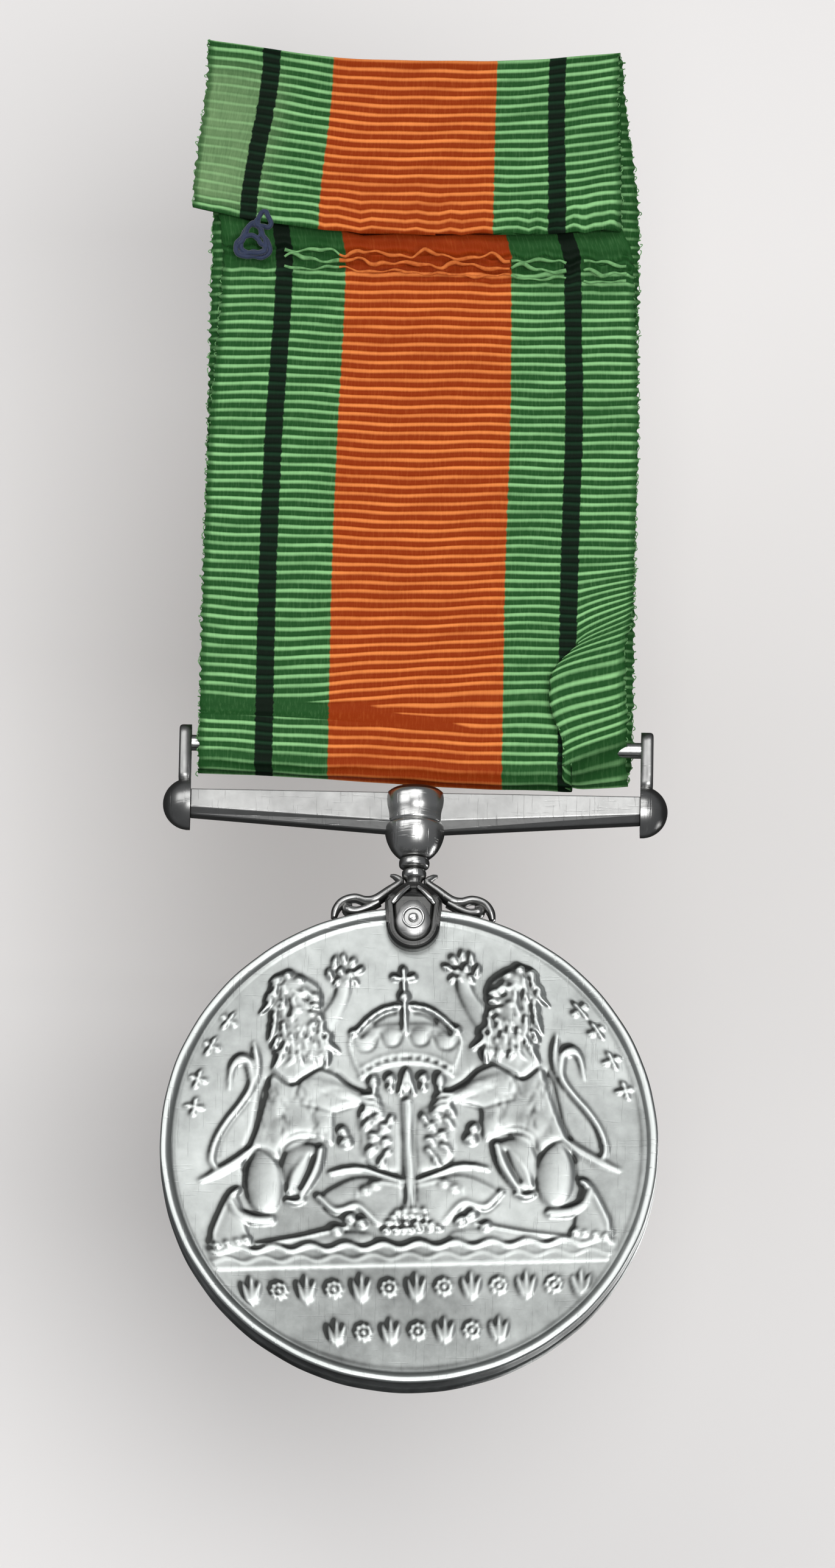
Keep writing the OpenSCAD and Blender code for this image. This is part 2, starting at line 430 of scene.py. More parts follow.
def shapeRibbon(look, across, side, distance, pitch, line):
    total = sum(runLength(run) for run in line)
    bottomAt = sum(runLength(run) for run in line[:4])
    topAt = bottomAt + runLength(line[4])
    # Ribs run a little unevenly across the cloth.
    wander = waves(look["wander"], across, distance)
    ends = soft(0, 1, distance) * soft(0, 1, total - distance)
    y, z, outY, outZ = alongRibbon(line, distance + wander * ends)
    onFront = 1 - soft(bottomAt - 3, bottomAt, distance)
    onFlap = soft(topAt, topAt + 1.5, distance)
    onBack = 1 - np.maximum(onFront, onFlap)
    rib = ribShape(look, across, distance, pitch, z, onFront, onFlap)
    worn = wornShare(across, -z, onFlap)
    height = look["thickness"] / 2 + look["ribHeight"] * (rib - 0.35)
    height = np.where(side == 0, 0, side * height)
    y = y + outY * height
    z = z + outZ * height
    x = across.copy()
    depth = -z

    # Selvedges: drawn in between the ribs.
    edge = soft(15.2, 15.9, np.abs(across))
    ragged = 0.5 + 0.5 * np.sin(5.3 * distance + 2 * np.sin(1.7 * distance + across))
    x -= np.sign(across) * edge * (0.1 * (1 - rib) + 0.13 * ragged)

    # Top fold: hollow in the middle, with the corners standing up.
    halfWidth = look["width"] / 2
    hollow = (look["cornerLift"] - look["topHollow"] * (1 - (across / halfWidth) ** 2)
              + 0.5 * soft(-5, -16, across))
    z = z + hollow * (onFlap + (1 - onFlap) * onBack * (1 - soft(0, 18, depth)))
    x = x * (1 - look["flapTaper"] * onFlap * (1 - soft(2, 13, depth)))
    down = soft(0, 14, depth)
    x -= onFlap * (look["flapShift"] + 0.4 * down
                   + look["flapWaist"] * down * bell(across + 10.5, 3.5)
                   + 0.3 * (1 - down) * soft(-8, -16, across))
    x = x * (1 - onBack * 0.03 * (1 - down)) - onBack * 0.9 * (1 - down)

    # Flap: its end curls off the panel in small waves.
    end = onFlap * soft(7, 14.6, depth - hollow)
    y -= end * (look["flapCurl"] + waves(look["curlWaves"], across))
    lip = onFlap * soft(10.8, 13.9, depth - hollow)
    unworn = soft(-9, -4, across)
    z += lip * waves(look["lipWaves"], across) * unworn
    z += lip * (look["lipRise"] * soft(-4, -16, across) - look["lipDrop"] * soft(6, 13, across))
    y -= lip * look["lipRoll"] * np.sin(3.4 * across + 2.0 * np.sin(0.8 * across)) * unworn
    y += onFlap * waves(look["flapSway"], across, depth) * soft(1, 5, depth)

    # Front panel: leans, is puckered by the seam, and fans out towards the rod.
    taper = across * look["frontTaper"] * (1 - soft(16, 32, depth))
    x += onFront * (look["frontShift"] - 0.35 * soft(20, 45, depth)) - onFront * taper
    x -= onFront * (1 - soft(12.5, 16.5, depth)) * (0.75 + 0.02 * across)
    seam = look["seamZ"] - look["seamTilt"] * across + waves(look["seamWaves"], across)
    y -= onFront * sum(deep * bell(z - seam - above, wide)
                       for deep, above, wide in look["seamDepths"])
    z += onFront * waves(look["puckerWaves"], across) * bell(z - seam, 1.6)
    # Crease above the rod: a tuck takes in two ribs at the left and opens to the right.
    tuck = np.clip((z - look["creaseZ"]) / look["tuck"], -1, 1)
    left = 1 - soft(-13, 7, across)
    over = np.maximum(z - look["creaseZ"] - look["tuck"], 0)
    y += onFront * 0.25 * bell(tuck, 0.7) * left
    z += onFront * np.maximum(tuck, 0) * (0.45 - 1.05 * left) * bell(over, 6)
    below = np.maximum(onFront, 1 - soft(0, 4, distance - bottomAt)) * (distance < topAt)
    z += below * np.maximum(-tuck, 0) * (0.9 * left - 0.2)
    y -= onFront * waves(look["frontSway"], across, depth) * soft(17, 24, depth)

    # Right edge above the rod: folded over to the left, so that it covers the dark stripe,
    # with its ribs fanned upwards.
    roll = np.maximum(onFront, 1 - soft(0, 1.5, distance - bottomAt)) * soft(46.3, 51.2, depth)
    roll = roll * (1 - 0.4 * soft(52, 55.5, depth)) * (distance < topAt)
    lap = soft(11.5, 12.3, across)
    x -= roll * look["lapWidth"] * lap * (1 - 0.78 * soft(12.3, halfWidth, across))
    y -= roll * (look["lapDepth"] * lap * (1 - 0.65 * soft(12.6, halfWidth, across))
                 - 0.3 * bell(across - 11, 0.9))
    gather = onFront * soft(38, 50, depth)
    z += gather * look["gatherRise"] * np.clip((across - 11.8) / 4.2, 0, 1) ** 0.8
    y += 0.9 * soft(-3.6, -1.8, distance - bottomAt) * (distance < topAt) * (
        1 - soft(1, 3, distance - bottomAt)) * soft(12.3, 13.5, across)
    return x, y, z, rib * np.where(side > 0, 1, 0.8), worn


def makeRibbonMesh(look):
    line = ribbonLine(look)
    total = sum(runLength(run) for run in line)
    ring = acrossRibbon(look)
    rows, pitch = ribbonRows(look, total)
    bm = bmesh.new()
    bmesh.ops.create_grid(bm, x_segments=len(ring) - 1, y_segments=len(rows) - 1, size=1)
    mesh = meshFrom(bm, "ribbon_strip")
    count = len(mesh.vertices)
    flat = np.zeros(count * 3)
    mesh.vertices.foreach_get("co", flat)
    flat = flat.reshape(-1, 3)
    column = np.rint((flat[:, 0] + 1) / 2 * (len(ring) - 1)).astype(int)
    row = np.rint((flat[:, 1] + 1) / 2 * (len(rows) - 1)).astype(int)
    across, side, distance = ring[column, 0], ring[column, 1], rows[row]
    x, y, z, rib, worn = shapeRibbon(look, across, side, distance, pitch, line)
    mesh.vertices.foreach_set("co", (np.stack([x, y, z], 1) * mm).ravel())
    for name, values in (("ridge", rib), ("worn", worn)):
        layer = mesh.attributes.new(name, "FLOAT", "POINT")
        layer.data.foreach_set("value", values.astype(np.float32))
    corners = np.zeros(len(mesh.loops), int)
    mesh.loops.foreach_get("vertex_index", corners)
    cloth = mesh.uv_layers.new(name="cloth")
    places = np.stack([across / look["width"] + 0.5, distance / total], 1)[corners]
    cloth.data.foreach_set("uv", places.ravel())
    bm = bmesh.new()
    bm.from_mesh(mesh)
    bpy.data.meshes.remove(mesh)
    bmesh.ops.remove_doubles(bm, verts=bm.verts, dist=1e-7)
    bmesh.ops.holes_fill(bm, edges=[e for e in bm.edges if e.is_boundary], sides=0)
    bmesh.ops.recalc_face_normals(bm, faces=bm.faces)
    selvedges = np.stack([x, y, z], 1)[(side == 0) & (row % 5 == 0) & (distance > 14)]
    return meshFrom(bm, "ribbon_strip"), total, selvedges


# Each stripe's colour in the rib valleys, then on the rib tops: painted shade in the valleys and
# painted highlight on the tops.
ribbonColours = {
    "orange": ((0.29, 0.032, 0.001), (0.92, 0.28, 0.07)),
    "green": ((0.015, 0.08, 0.017), (0.30, 0.62, 0.26)),
    "black": ((0.002, 0.008, 0.003), (0.008, 0.035, 0.014)),
    "rubbed": (0.30, 0.46, 0.22),
    "orangeHalf": 6.35,
    "blackFrom": 10.4,
    "blackTo": 11.7,
}


def ribbonPaint(look, colours, total):
    paint = Paint("ribbedSilk", Roughness=0.7, Specular_IOR_Level=0.12)
    across = (paint.uv(0) - 0.5) * look["width"]
    along = paint.uv(1) * total
    spot = paint.node("ShaderNodeCombineXYZ", {}, across, along, 0.0)
    # Warp threads run along the ribbon, many to a millimetre.
    warpPlace = paint.node("ShaderNodeCombineXYZ", {}, across * 7.0, along * 0.9, 0.0)
    warp = paint.noise(warpPlace, 1.0, 2.0, 0.6)
    ragged = (paint.noise(paint.node("ShaderNodeCombineXYZ", {}, across * 0.3, along * 2.2, 4.0),
                          1.0, 2.0) - 0.5) * 0.3
    away = paint.node("ShaderNodeMath", {"operation": "ABSOLUTE"}, across + ragged)
    patches = paint.noise(spot, 0.22, 3.0, 0.6)
    ridge = paint.attribute("ridge")
    bars = paint.noise(paint.node("ShaderNodeCombineXYZ", {}, across * 0.11, along * 1.5, 9.0),
                       1.0, 2.0)
    uneven = (patches - 0.5) * 0.55 + (bars - 0.5) * 0.7
    # The rib tops are painted lit and the valleys shaded: painted highlight and painted shade.
    lit = paint.clamped(ridge.above(0.6, 0.72) * (0.88 + uneven), (warp - 0.5) * 0.38)
    shades = {name: paint.mix(lit, *colours[name]) for name in ("orange", "green", "black")}
    cloth = paint.mix(away.above(colours["orangeHalf"], 0.12), shades["orange"],
                      shades["green"])
    dark = away.above(colours["blackFrom"], 0.1) * (
        1 - away.above(colours["blackTo"], 0.1))
    cloth = paint.mix(dark, cloth, shades["black"])
    rubbed = paint.attribute("worn") * (1 - dark) * (0.1 + warp * 0.35 + patches * 0.35)
    cloth = paint.mix(rubbed, cloth, colours["rubbed"])
    selvedge = away.above(look["selvedgeFrom"], 0.5) * 0.6
    cloth = paint.mix(selvedge, cloth, colours["green"][0])
    threads = paint.bump(warp + paint.noise(spot, 9.0, 2.0) * 0.4, 0.5, 0.00006)
    paint.surface(Base_Color=cloth, Normal=threads)
    return paint.material


ribbonMesh, ribbonTotal, selvedges = makeRibbonMesh(ribbonLook)
ribbonPiece = addPiece("ribbon_strip", ribbonMesh, "ribbon_drop",
                       ribbonPaint(ribbonLook, ribbonColours, ribbonTotal), ("ribbon",))
ribbonTotal * mm
print("ribbon:", len(ribbonMesh.polygons), "faces,", round(ribbonTotal, 1), "mm long")

discLow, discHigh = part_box("medal_disc")
discLook = {
    "centreZ": (discLow.z + discHigh.z) / 2 / mm,
    "radius": (discHigh.x - discLow.x) / 2 / mm,
    "rimY": (discHigh.y - discLow.y) / 2 / mm,
    "fieldDrop": 0.42,
    "fieldRadius": 17.15,
    "faceCells": 290,
    "backCells": 200,
    "turn": 2.6,
    "strength": 0.76,
    "wear": 2,
    "toneShare": 0.8,
    "reliefRadius": 17.1,
    "hollow": 0.05,
    "filletFrom": 16.8,
    "fillet": 0.07,
    "rimWear": 0.018,
}


def smoothPath(points, steps=5):
    # A rounded line through a few points.
    ends = [points[0]] + list(points) + [points[-1]]
    made = []
    for a, b, c, d in zip(ends, ends[1:], ends[2:], ends[3:]):
        for i in range(steps):
            t = i / steps
            made.append([
                0.5 * (2 * q + (r - p) * t + (2 * p - 5 * q + 4 * r - s) * t * t
                       + (3 * q - p - 3 * r + s) * t ** 3)
                for p, q, r, s in zip(a, b, c, d)])
    return made + [list(points[-1])]


# Heights over a flat field, built up as a die sinker would: plates, domes and strokes are
# laid on, and grooves are cut.
class Relief:
    def __init__(self, x, z):
        self.x = x
        self.z = z
        self.height = np.zeros_like(x)

    def near(self, lowX, highX, lowZ, highZ, reach):
        return np.nonzero((self.x > lowX - reach) & (self.x < highX + reach)
                          & (self.z > lowZ - reach) & (self.z < highZ + reach))

    def lay(self, spots, height):
        self.height[spots] = np.maximum(self.height[spots], height)

    def dome(self, x, z, wide, tall, top, turn=0):
        reach = max(wide, tall)
        spots = self.near(x, x, z, z, reach)
        a = math.radians(turn)
        dx, dz = self.x[spots] - x, self.z[spots] - z
        p = (dx * math.cos(a) + dz * math.sin(a)) / wide
        q = (dz * math.cos(a) - dx * math.sin(a)) / tall
        inside = np.clip(1 - p * p - q * q, 0, 1)
        self.lay(spots, top * np.sqrt(inside))

    def along(self, points, spots):
        # Distance to a line through the points, in widths, and the height there.
        x, z = self.x[spots], self.z[spots]
        best = np.full(x.shape, 9.0)
        top = np.zeros(x.shape)
        for (ax, az, aw, at), (bx, bz, bw, bt) in zip(points, points[1:]):
            dx, dz = bx - ax, bz - az
            t = np.clip(((x - ax) * dx + (z - az) * dz) / (dx * dx + dz * dz + 1e-9), 0, 1)
            away = np.hypot(x - ax - dx * t, z - az - dz * t) / (aw + (bw - aw) * t)
            closer = away < best
            best = np.where(closer, away, best)
            top = np.where(closer, at + (bt - at) * t, top)
        return best, top

    def spread(self, points, widths, tops):
        count = len(points)
        widths = widths if isinstance(widths, (list, tuple)) else [widths] * count
        tops = tops if isinstance(tops, (list, tuple)) else [tops] * count
        full = [(*p, w / 2, t) for p, w, t in zip(points, widths, tops)]
        full = smoothPath(full) if count > 2 else full
        xs, zs = [p[0] for p in full], [p[1] for p in full]
        spots = self.near(min(xs), max(xs), min(zs), max(zs), max(widths))
        return full, spots

    def stroke(self, points, widths, tops):
        full, spots = self.spread(points, widths, tops)
        away, top = self.along(full, spots)
        self.lay(spots, top * np.clip(1 - away * away, 0, 1) ** 0.5)

    def groove(self, points, width, depth):
        full, spots = self.spread(points, width, depth)
        away, deep = self.along(full, spots)
        self.height[spots] -= deep * np.exp(-2.5 * away * away)

    def outline(self, points, spots):
        # Distance inside a closed outline, negative outside it.
        x, z = self.x[spots], self.z[spots]
        best = np.full(x.shape, 99.0)
        inside = np.zeros(x.shape, bool)
        for (ax, az), (bx, bz) in zip(points, points[1:] + points[:1]):
            dx, dz = bx - ax, bz - az
            t = np.clip(((x - ax) * dx + (z - az) * dz) / (dx * dx + dz * dz + 1e-9), 0, 1)
            best = np.minimum(best, np.hypot(x - ax - dx * t, z - az - dz * t))
            if az != bz:
                crosses = (az > z) != (bz > z)
                inside ^= crosses & (x < ax + dx * (z - az) / dz)
        return np.where(inside, best, -best)

    def plate(self, points, edgeTop, top, edge=0.18, crown=2.0):
        # A raised shape: a steep rounded edge, then a slow swell to its middle.
        closed = smoothPath([list(p) for p in points] + [list(points[0])], 4)[:-1]
        xs, zs = [p[0] for p in closed], [p[1] for p in closed]
        spots = self.near(min(xs), max(xs), min(zs), max(zs), 0.1)
        inside = self.outline(closed, spots)
        steep = np.sqrt(np.clip(inside / edge, 0, 1) * (2 - np.clip(inside / edge, 0, 1)))
        swell = np.clip(inside / crown, 0, 1)
        self.lay(spots, edgeTop * steep + (top - edgeTop) * np.sin(swell * np.pi / 2)
                 * (inside > 0))


def mirrored(points, side):
    return [(side * -p[0], *p[1:]) for p in points]


# One lion, standing on its hind legs with its head turned to the middle. side is -1 for the
# left lion and 1 for the right one; the shapes below are the left lion's.
def strikeLion(relief, side):
    def at(*points):
        return mirrored(points, side)

    def dome(x, z, wide, tall, top, turn=0):
        relief.dome(-side * x, z, wide, tall, top, -side * turn)

    # Tail: a root that leaves the hip and a long curl up to its tuft.
    relief.stroke(at((-11.2, -0.1), (-12.6, -1.0), (-13.9, -1.75), (-15.1, -2.35)),
                  [0.9, 0.75, 0.7, 0.35], [0.22, 0.2, 0.18, 0.1])
    relief.stroke(at((-13.9, -1.5), (-14.25, -0.7), (-13.9, 0.7), (-13.1, 2.1), (-12.0, 3.5),
                     (-11.25, 4.7), (-11.15, 5.9)),
                  [0.4, 0.5, 0.5, 0.5, 0.5, 0.6, 0.6], [0.12, 0.16, 0.17, 0.17, 0.18, 0.2, 0.18])
    relief.groove(at((-13.75, -0.5), (-13.45, 0.8), (-12.7, 2.0), (-11.7, 3.3), (-10.9, 4.6)),
                  0.28, 0.05)
    relief.stroke(at((-11.2, 5.4), (-11.35, 6.5), (-12.0, 6.85), (-12.6, 6.2), (-12.85, 4.6)),
                  [0.5, 0.7, 0.8, 0.5, 0.2], [0.18, 0.24, 0.26, 0.18, 0.08])
    relief.stroke(at((-10.9, 5.0), (-10.75, 6.2), (-10.85, 7.2), (-11.0, 8.1)),
                  [0.35, 0.5, 0.55, 0.15], [0.14, 0.2, 0.2, 0.1])
    # Body and arms.
    relief.plate(at((-9.5, 7.0), (-9.9, 5.4), (-10.3, 3.6), (-10.9, 1.6), (-11.4, 0.2),
                    (-10.9, -0.7), (-9.4, -0.9), (-9.0, -0.1), (-8.1, 0.6), (-7.0, 0.75),
                    (-6.1, 0.45), (-5.5, 0.2), (-5.35, 1.6), (-5.3, 2.6), (-4.2, 3.0),
                    (-3.4, 3.3), (-2.9, 4.0), (-4.2, 4.75), (-5.1, 5.6), (-6.1, 6.15)),
                 0.16, 0.21, crown=1.2)
    dome(-9.2, 3.6, 1.1, 2.2, 0.27, -10)
    dome(-8.9, 1.3, 1.7, 1.7, 0.27, 10)
    dome(-7.2, 4.4, 1.6, 1.3, 0.28, -25)
    dome(-6.3, 1.6, 1.0, 1.0, 0.25, 20)
    relief.stroke(at((-6.9, 4.7), (-5.2, 4.3), (-4.1, 3.8), (-3.1, 3.5)),
                  [2.0, 1.5, 1.0, 0.8], [0.27, 0.28, 0.27, 0.24])
    relief.groove(at((-6.4, 6.1), (-5.1, 5.55), (-4.2, 4.75), (-3.0, 4.05)), 0.42, 0.17)
    relief.groove(at((-9.7, 5.8), (-8.4, 4.85), (-7.4, 5.4), (-6.4, 6.0)), 0.42, 0.18)
    relief.groove(at((-9.8, 5.6), (-10.5, 4.6), (-10.85, 3.0), (-11.15, 1.5), (-11.7, 0.2)),
                  0.42, 0.13)
    relief.groove(at((-7.6, 3.2), (-6.4, 2.9), (-5.4, 2.65), (-4.2, 2.95)), 0.3, 0.07)
    relief.groove(at((-9.4, -0.6), (-9.0, 0.5), (-7.9, 1.15), (-6.6, 0.95)), 0.3, 0.07)
    strikeHair(relief, at)
    for i in range(3):
        relief.stroke(at((-3.2 + 0.1 * i, 3.75 - 0.42 * i), (-2.5 + 0.1 * i, 3.75 - 0.5 * i),
                         (-2.0 + 0.15 * i, 3.45 - 0.55 * i)),
                      [0.5, 0.5, 0.3], [0.3, 0.3, 0.16])
    # Raised forepaw, with its claws spread.
    relief.stroke(at((-6.2, 8.9), (-5.2, 10.3), (-4.5, 11.6), (-4.2, 12.8)),
                  [1.9, 1.5, 1.2, 0.9], [0.13, 0.15, 0.16, 0.2])
    relief.groove(at((-5.9, 10.3), (-5.1, 11.5), (-4.9, 12.6)), 0.3, 0.08)
    for x, z, wide, tall, lean in ((-5.35, 13.1, 0.24, 0.5, 20), (-4.95, 14.05, 0.26, 0.52, -8),
                                   (-4.3, 14.3, 0.22, 0.44, 12), (-3.65, 14.0, 0.3, 0.4, -35),
                                   (-3.2, 13.35, 0.22, 0.46, -60), (-4.55, 13.3, 0.3, 0.38, 10),
                                   (-3.85, 13.1, 0.34, 0.28, -20), (-4.85, 12.5, 0.24, 0.4, -20),
                                   (-4.1, 12.5, 0.36, 0.3, 30), (-3.5, 12.5, 0.2, 0.34, 40)):
        dome(x, z, wide, tall, 0.24 + 0.06 * math.sin(9 * x), lean)
    # Hind legs: the near thigh and shank, then the far leg.
    dome(-10.5, -2.5, 1.42, 2.55, 0.36, 2)
    relief.groove(at((-9.15, -0.7), (-8.95, -2.0), (-9.1, -3.6), (-9.8, -5.1), (-10.9, -5.1),
                     (-11.7, -4.2), (-12.0, -2.6), (-11.8, -1.0)), 0.34, 0.12)
    relief.groove(at((-12.0, -1.5), (-11.4, -0.45), (-10.8, 0.0), (-9.9, -0.5), (-9.2, -1.4)),
                  0.44, 0.14)
    relief.stroke(at((-10.1, -5.4), (-11.4, -5.35), (-12.5, -4.85), (-13.0, -3.9)),
                  [0.8, 0.9, 0.9, 0.8], [0.22, 0.28, 0.3, 0.28])
    dome(-12.65, -3.3, 0.62, 0.3, 0.32, 40)
    relief.plate(at((-12.7, -3.0), (-13.2, -3.4), (-13.8, -4.8), (-14.4, -6.3),
                    (-14.6, -7.3), (-13.0, -7.6), (-11.5, -7.3), (-11.8, -6.2),
                    (-12.0, -5.2), (-12.2, -4.2)), 0.14, 0.22, crown=1.0)
    relief.stroke(at((-13.1, -3.7), (-13.7, -5.0), (-14.2, -6.3), (-14.1, -7.0)),
                  [0.5, 0.5, 0.5, 0.4], [0.24, 0.24, 0.24, 0.22])
    for i, x in enumerate((-14.0, -13.25, -12.5, -11.85)):
        dome(x, -7.25 + 0.12 * i, 0.4, 0.36, 0.32)
    relief.plate(at((-9.25, -1.3), (-8.9, -0.35), (-8.1, 0.2), (-7.1, 0.25), (-6.4, -0.1),
                    (-6.5, -1.2), (-7.0, -2.4), (-7.6, -3.4), (-8.4, -3.6), (-9.1, -2.6)),
                 0.12, 0.22, crown=0.9)
    relief.groove(at((-9.4, -0.9), (-8.9, 0.15), (-7.9, 0.65), (-6.8, 0.55), (-6.0, 0.05)),
                  0.4, 0.12)
    relief.stroke(at((-8.7, -3.3), (-8.3, -2.0), (-7.5, -0.8)), [0.5, 0.8, 0.6],
                  [0.24, 0.28, 0.24])
    relief.stroke(at((-6.35, -0.2), (-6.7, -1.5), (-7.3, -2.7), (-7.9, -3.7)),
                  [0.7, 0.85, 0.7, 0.4], [0.3, 0.34, 0.3, 0.22])
    relief.groove(at((-7.0, -0.7), (-7.4, -1.8), (-8.0, -3.0)), 0.4, 0.2)
    relief.stroke(at((-8.9, -4.0), (-8.3, -4.15), (-7.7, -3.95)), [0.4, 0.55, 0.4],
                  [0.2, 0.28, 0.2])
    strikeHead(relief, at, dome)


def strikeLions(relief):
    for side in (-1, 1):
        strikeLion(relief, side)


def strikeHair(relief, at):
    # Short cuts that lie along the body and the arm.
    for i in range(44):
        across, up = (i * 0.618) % 1, (i * 0.755 + 0.3) % 1
        x = -10.6 + 4.6 * across + 0.25 * math.sin(3 * i)
        z = 0.4 + 5.0 * up - 0.5 * across
        lean = 0.22 * math.sin(1.3 * i) + 0.3 * (0.5 - across)
        relief.groove(at((x, z + 0.28), (x + lean, z - 0.28)), 0.26, 0.03 + 0.02 * up)
        if i % 3 == 0:
            x, z = -6.4 + 3.0 * across, 4.9 - 1.1 * across - 0.9 * up
            relief.groove(at((x - 0.3, z + 0.12), (x + 0.25, z - 0.1)), 0.15, 0.035)


def strikeHead(relief, at, dome):
    # Mane: a heavy mass with rows of pointed locks laid over it from the bottom up.
    relief.plate(at((-9.4, 13.0), (-8.6, 13.45), (-7.3, 13.0), (-6.2, 12.2), (-5.95, 11.2),
                    (-6.1, 10.0), (-5.6, 8.6), (-5.25, 7.4), (-6.1, 6.3), (-7.1, 5.7),
                    (-8.1, 5.15), (-9.0, 5.9), (-9.5, 7.2), (-9.55, 9.0), (-9.9, 10.8),
                    (-9.8, 12.2)), 0.16, 0.30)
    for row in range(6):
        z = 6.6 + row * 1.05
        spread = 1.55 + 0.12 * row
        count = 5
        for i in range(count):
            share = (i + 0.5 * (row % 2)) / (count - 1) - 0.5
            x = -7.55 + 2 * share * spread - 0.07 * row
            if row > 2 and share > 0.1:
                continue
            sway = 0.28 * math.sin(2.1 * i + 1.7 * row)
            relief.stroke(at((x, z + 0.85), (x + sway, z + 0.25), (x + 0.9 * share - sway,
                                                                   z - 0.5)),
                          [0.42, 0.62, 0.14], [0.3, 0.40, 0.26])
    for x, z, wide, tall, turn in ((-9.75, 11.2, 0.42, 0.34, 0), (-9.5, 9.4, 0.4, 0.32, 30),
                                   (-9.15, 8.2, 0.35, 0.28, 20), (-9.1, 7.1, 0.3, 0.42, -20),
                                   (-9.05, 11.0, 0.34, 0.3, 0), (-5.85, 7.6, 0.34, 0.3, 20),
                                   (-6.2, 9.3, 0.26, 0.42, 10)):
        dome(x, z, wide, tall, 0.36, turn)
    for row in range(8):
        for i in range(5):
            x = -9.4 + 0.86 * i + 0.28 * math.sin(5 * i + 3.1 * row)
            z = 12.4 - 0.8 * row + 0.2 * math.sin(4 * i + 2.3 * row)
            if (x > -8.4 and z > 9.9) or x > -5.9 or (x < -8.9 and z < 7):
                continue
            dome(x, z, 0.24 + 0.06 * math.sin(9 * x), 0.34, 0.40 + 0.05 * math.sin(7 * z),
                 25 * math.sin(3 * i + row))
            relief.groove(at((x + 0.3, z + 0.3), (x + 0.34, z - 0.2)), 0.22, 0.1)
    # Face: forehead and ears, brow, cheek, nose, muzzle and jaw.
    dome(-8.2, 12.3, 1.0, 0.8, 0.33)
    dome(-9.2, 12.75, 0.48, 0.42, 0.38, 20)
    dome(-8.4, 13.1, 0.42, 0.4, 0.38, -10)
    dome(-7.55, 12.7, 0.5, 0.32, 0.38, -25)
    relief.stroke(at((-8.15, 11.95), (-7.5, 11.65), (-7.05, 11.9)), [0.32, 0.42, 0.3],
                  [0.38, 0.42, 0.36])
    dome(-7.75, 10.45, 0.62, 0.42, 0.41, -12)
    relief.stroke(at((-7.3, 12.0), (-6.9, 11.6), (-6.45, 11.25)), [0.5, 0.5, 0.42],
                  [0.36, 0.38, 0.40])
    dome(-6.5, 11.35, 0.58, 0.5, 0.40)
    dome(-6.45, 10.75, 0.5, 0.32, 0.42, 5)
    dome(-6.75, 10.1, 0.42, 0.34, 0.34, 10)
    relief.groove(at((-7.3, 11.3), (-7.0, 11.15)), 0.3, 0.2)
    relief.groove(at((-6.9, 10.95), (-6.45, 11.02), (-6.1, 11.1)), 0.16, 0.12)
    relief.groove(at((-7.1, 10.45), (-6.7, 10.4), (-6.2, 10.38)), 0.18, 0.16)
    relief.groove(at((-8.6, 11.6), (-8.3, 10.9), (-8.5, 10.1)), 0.35, 0.14)


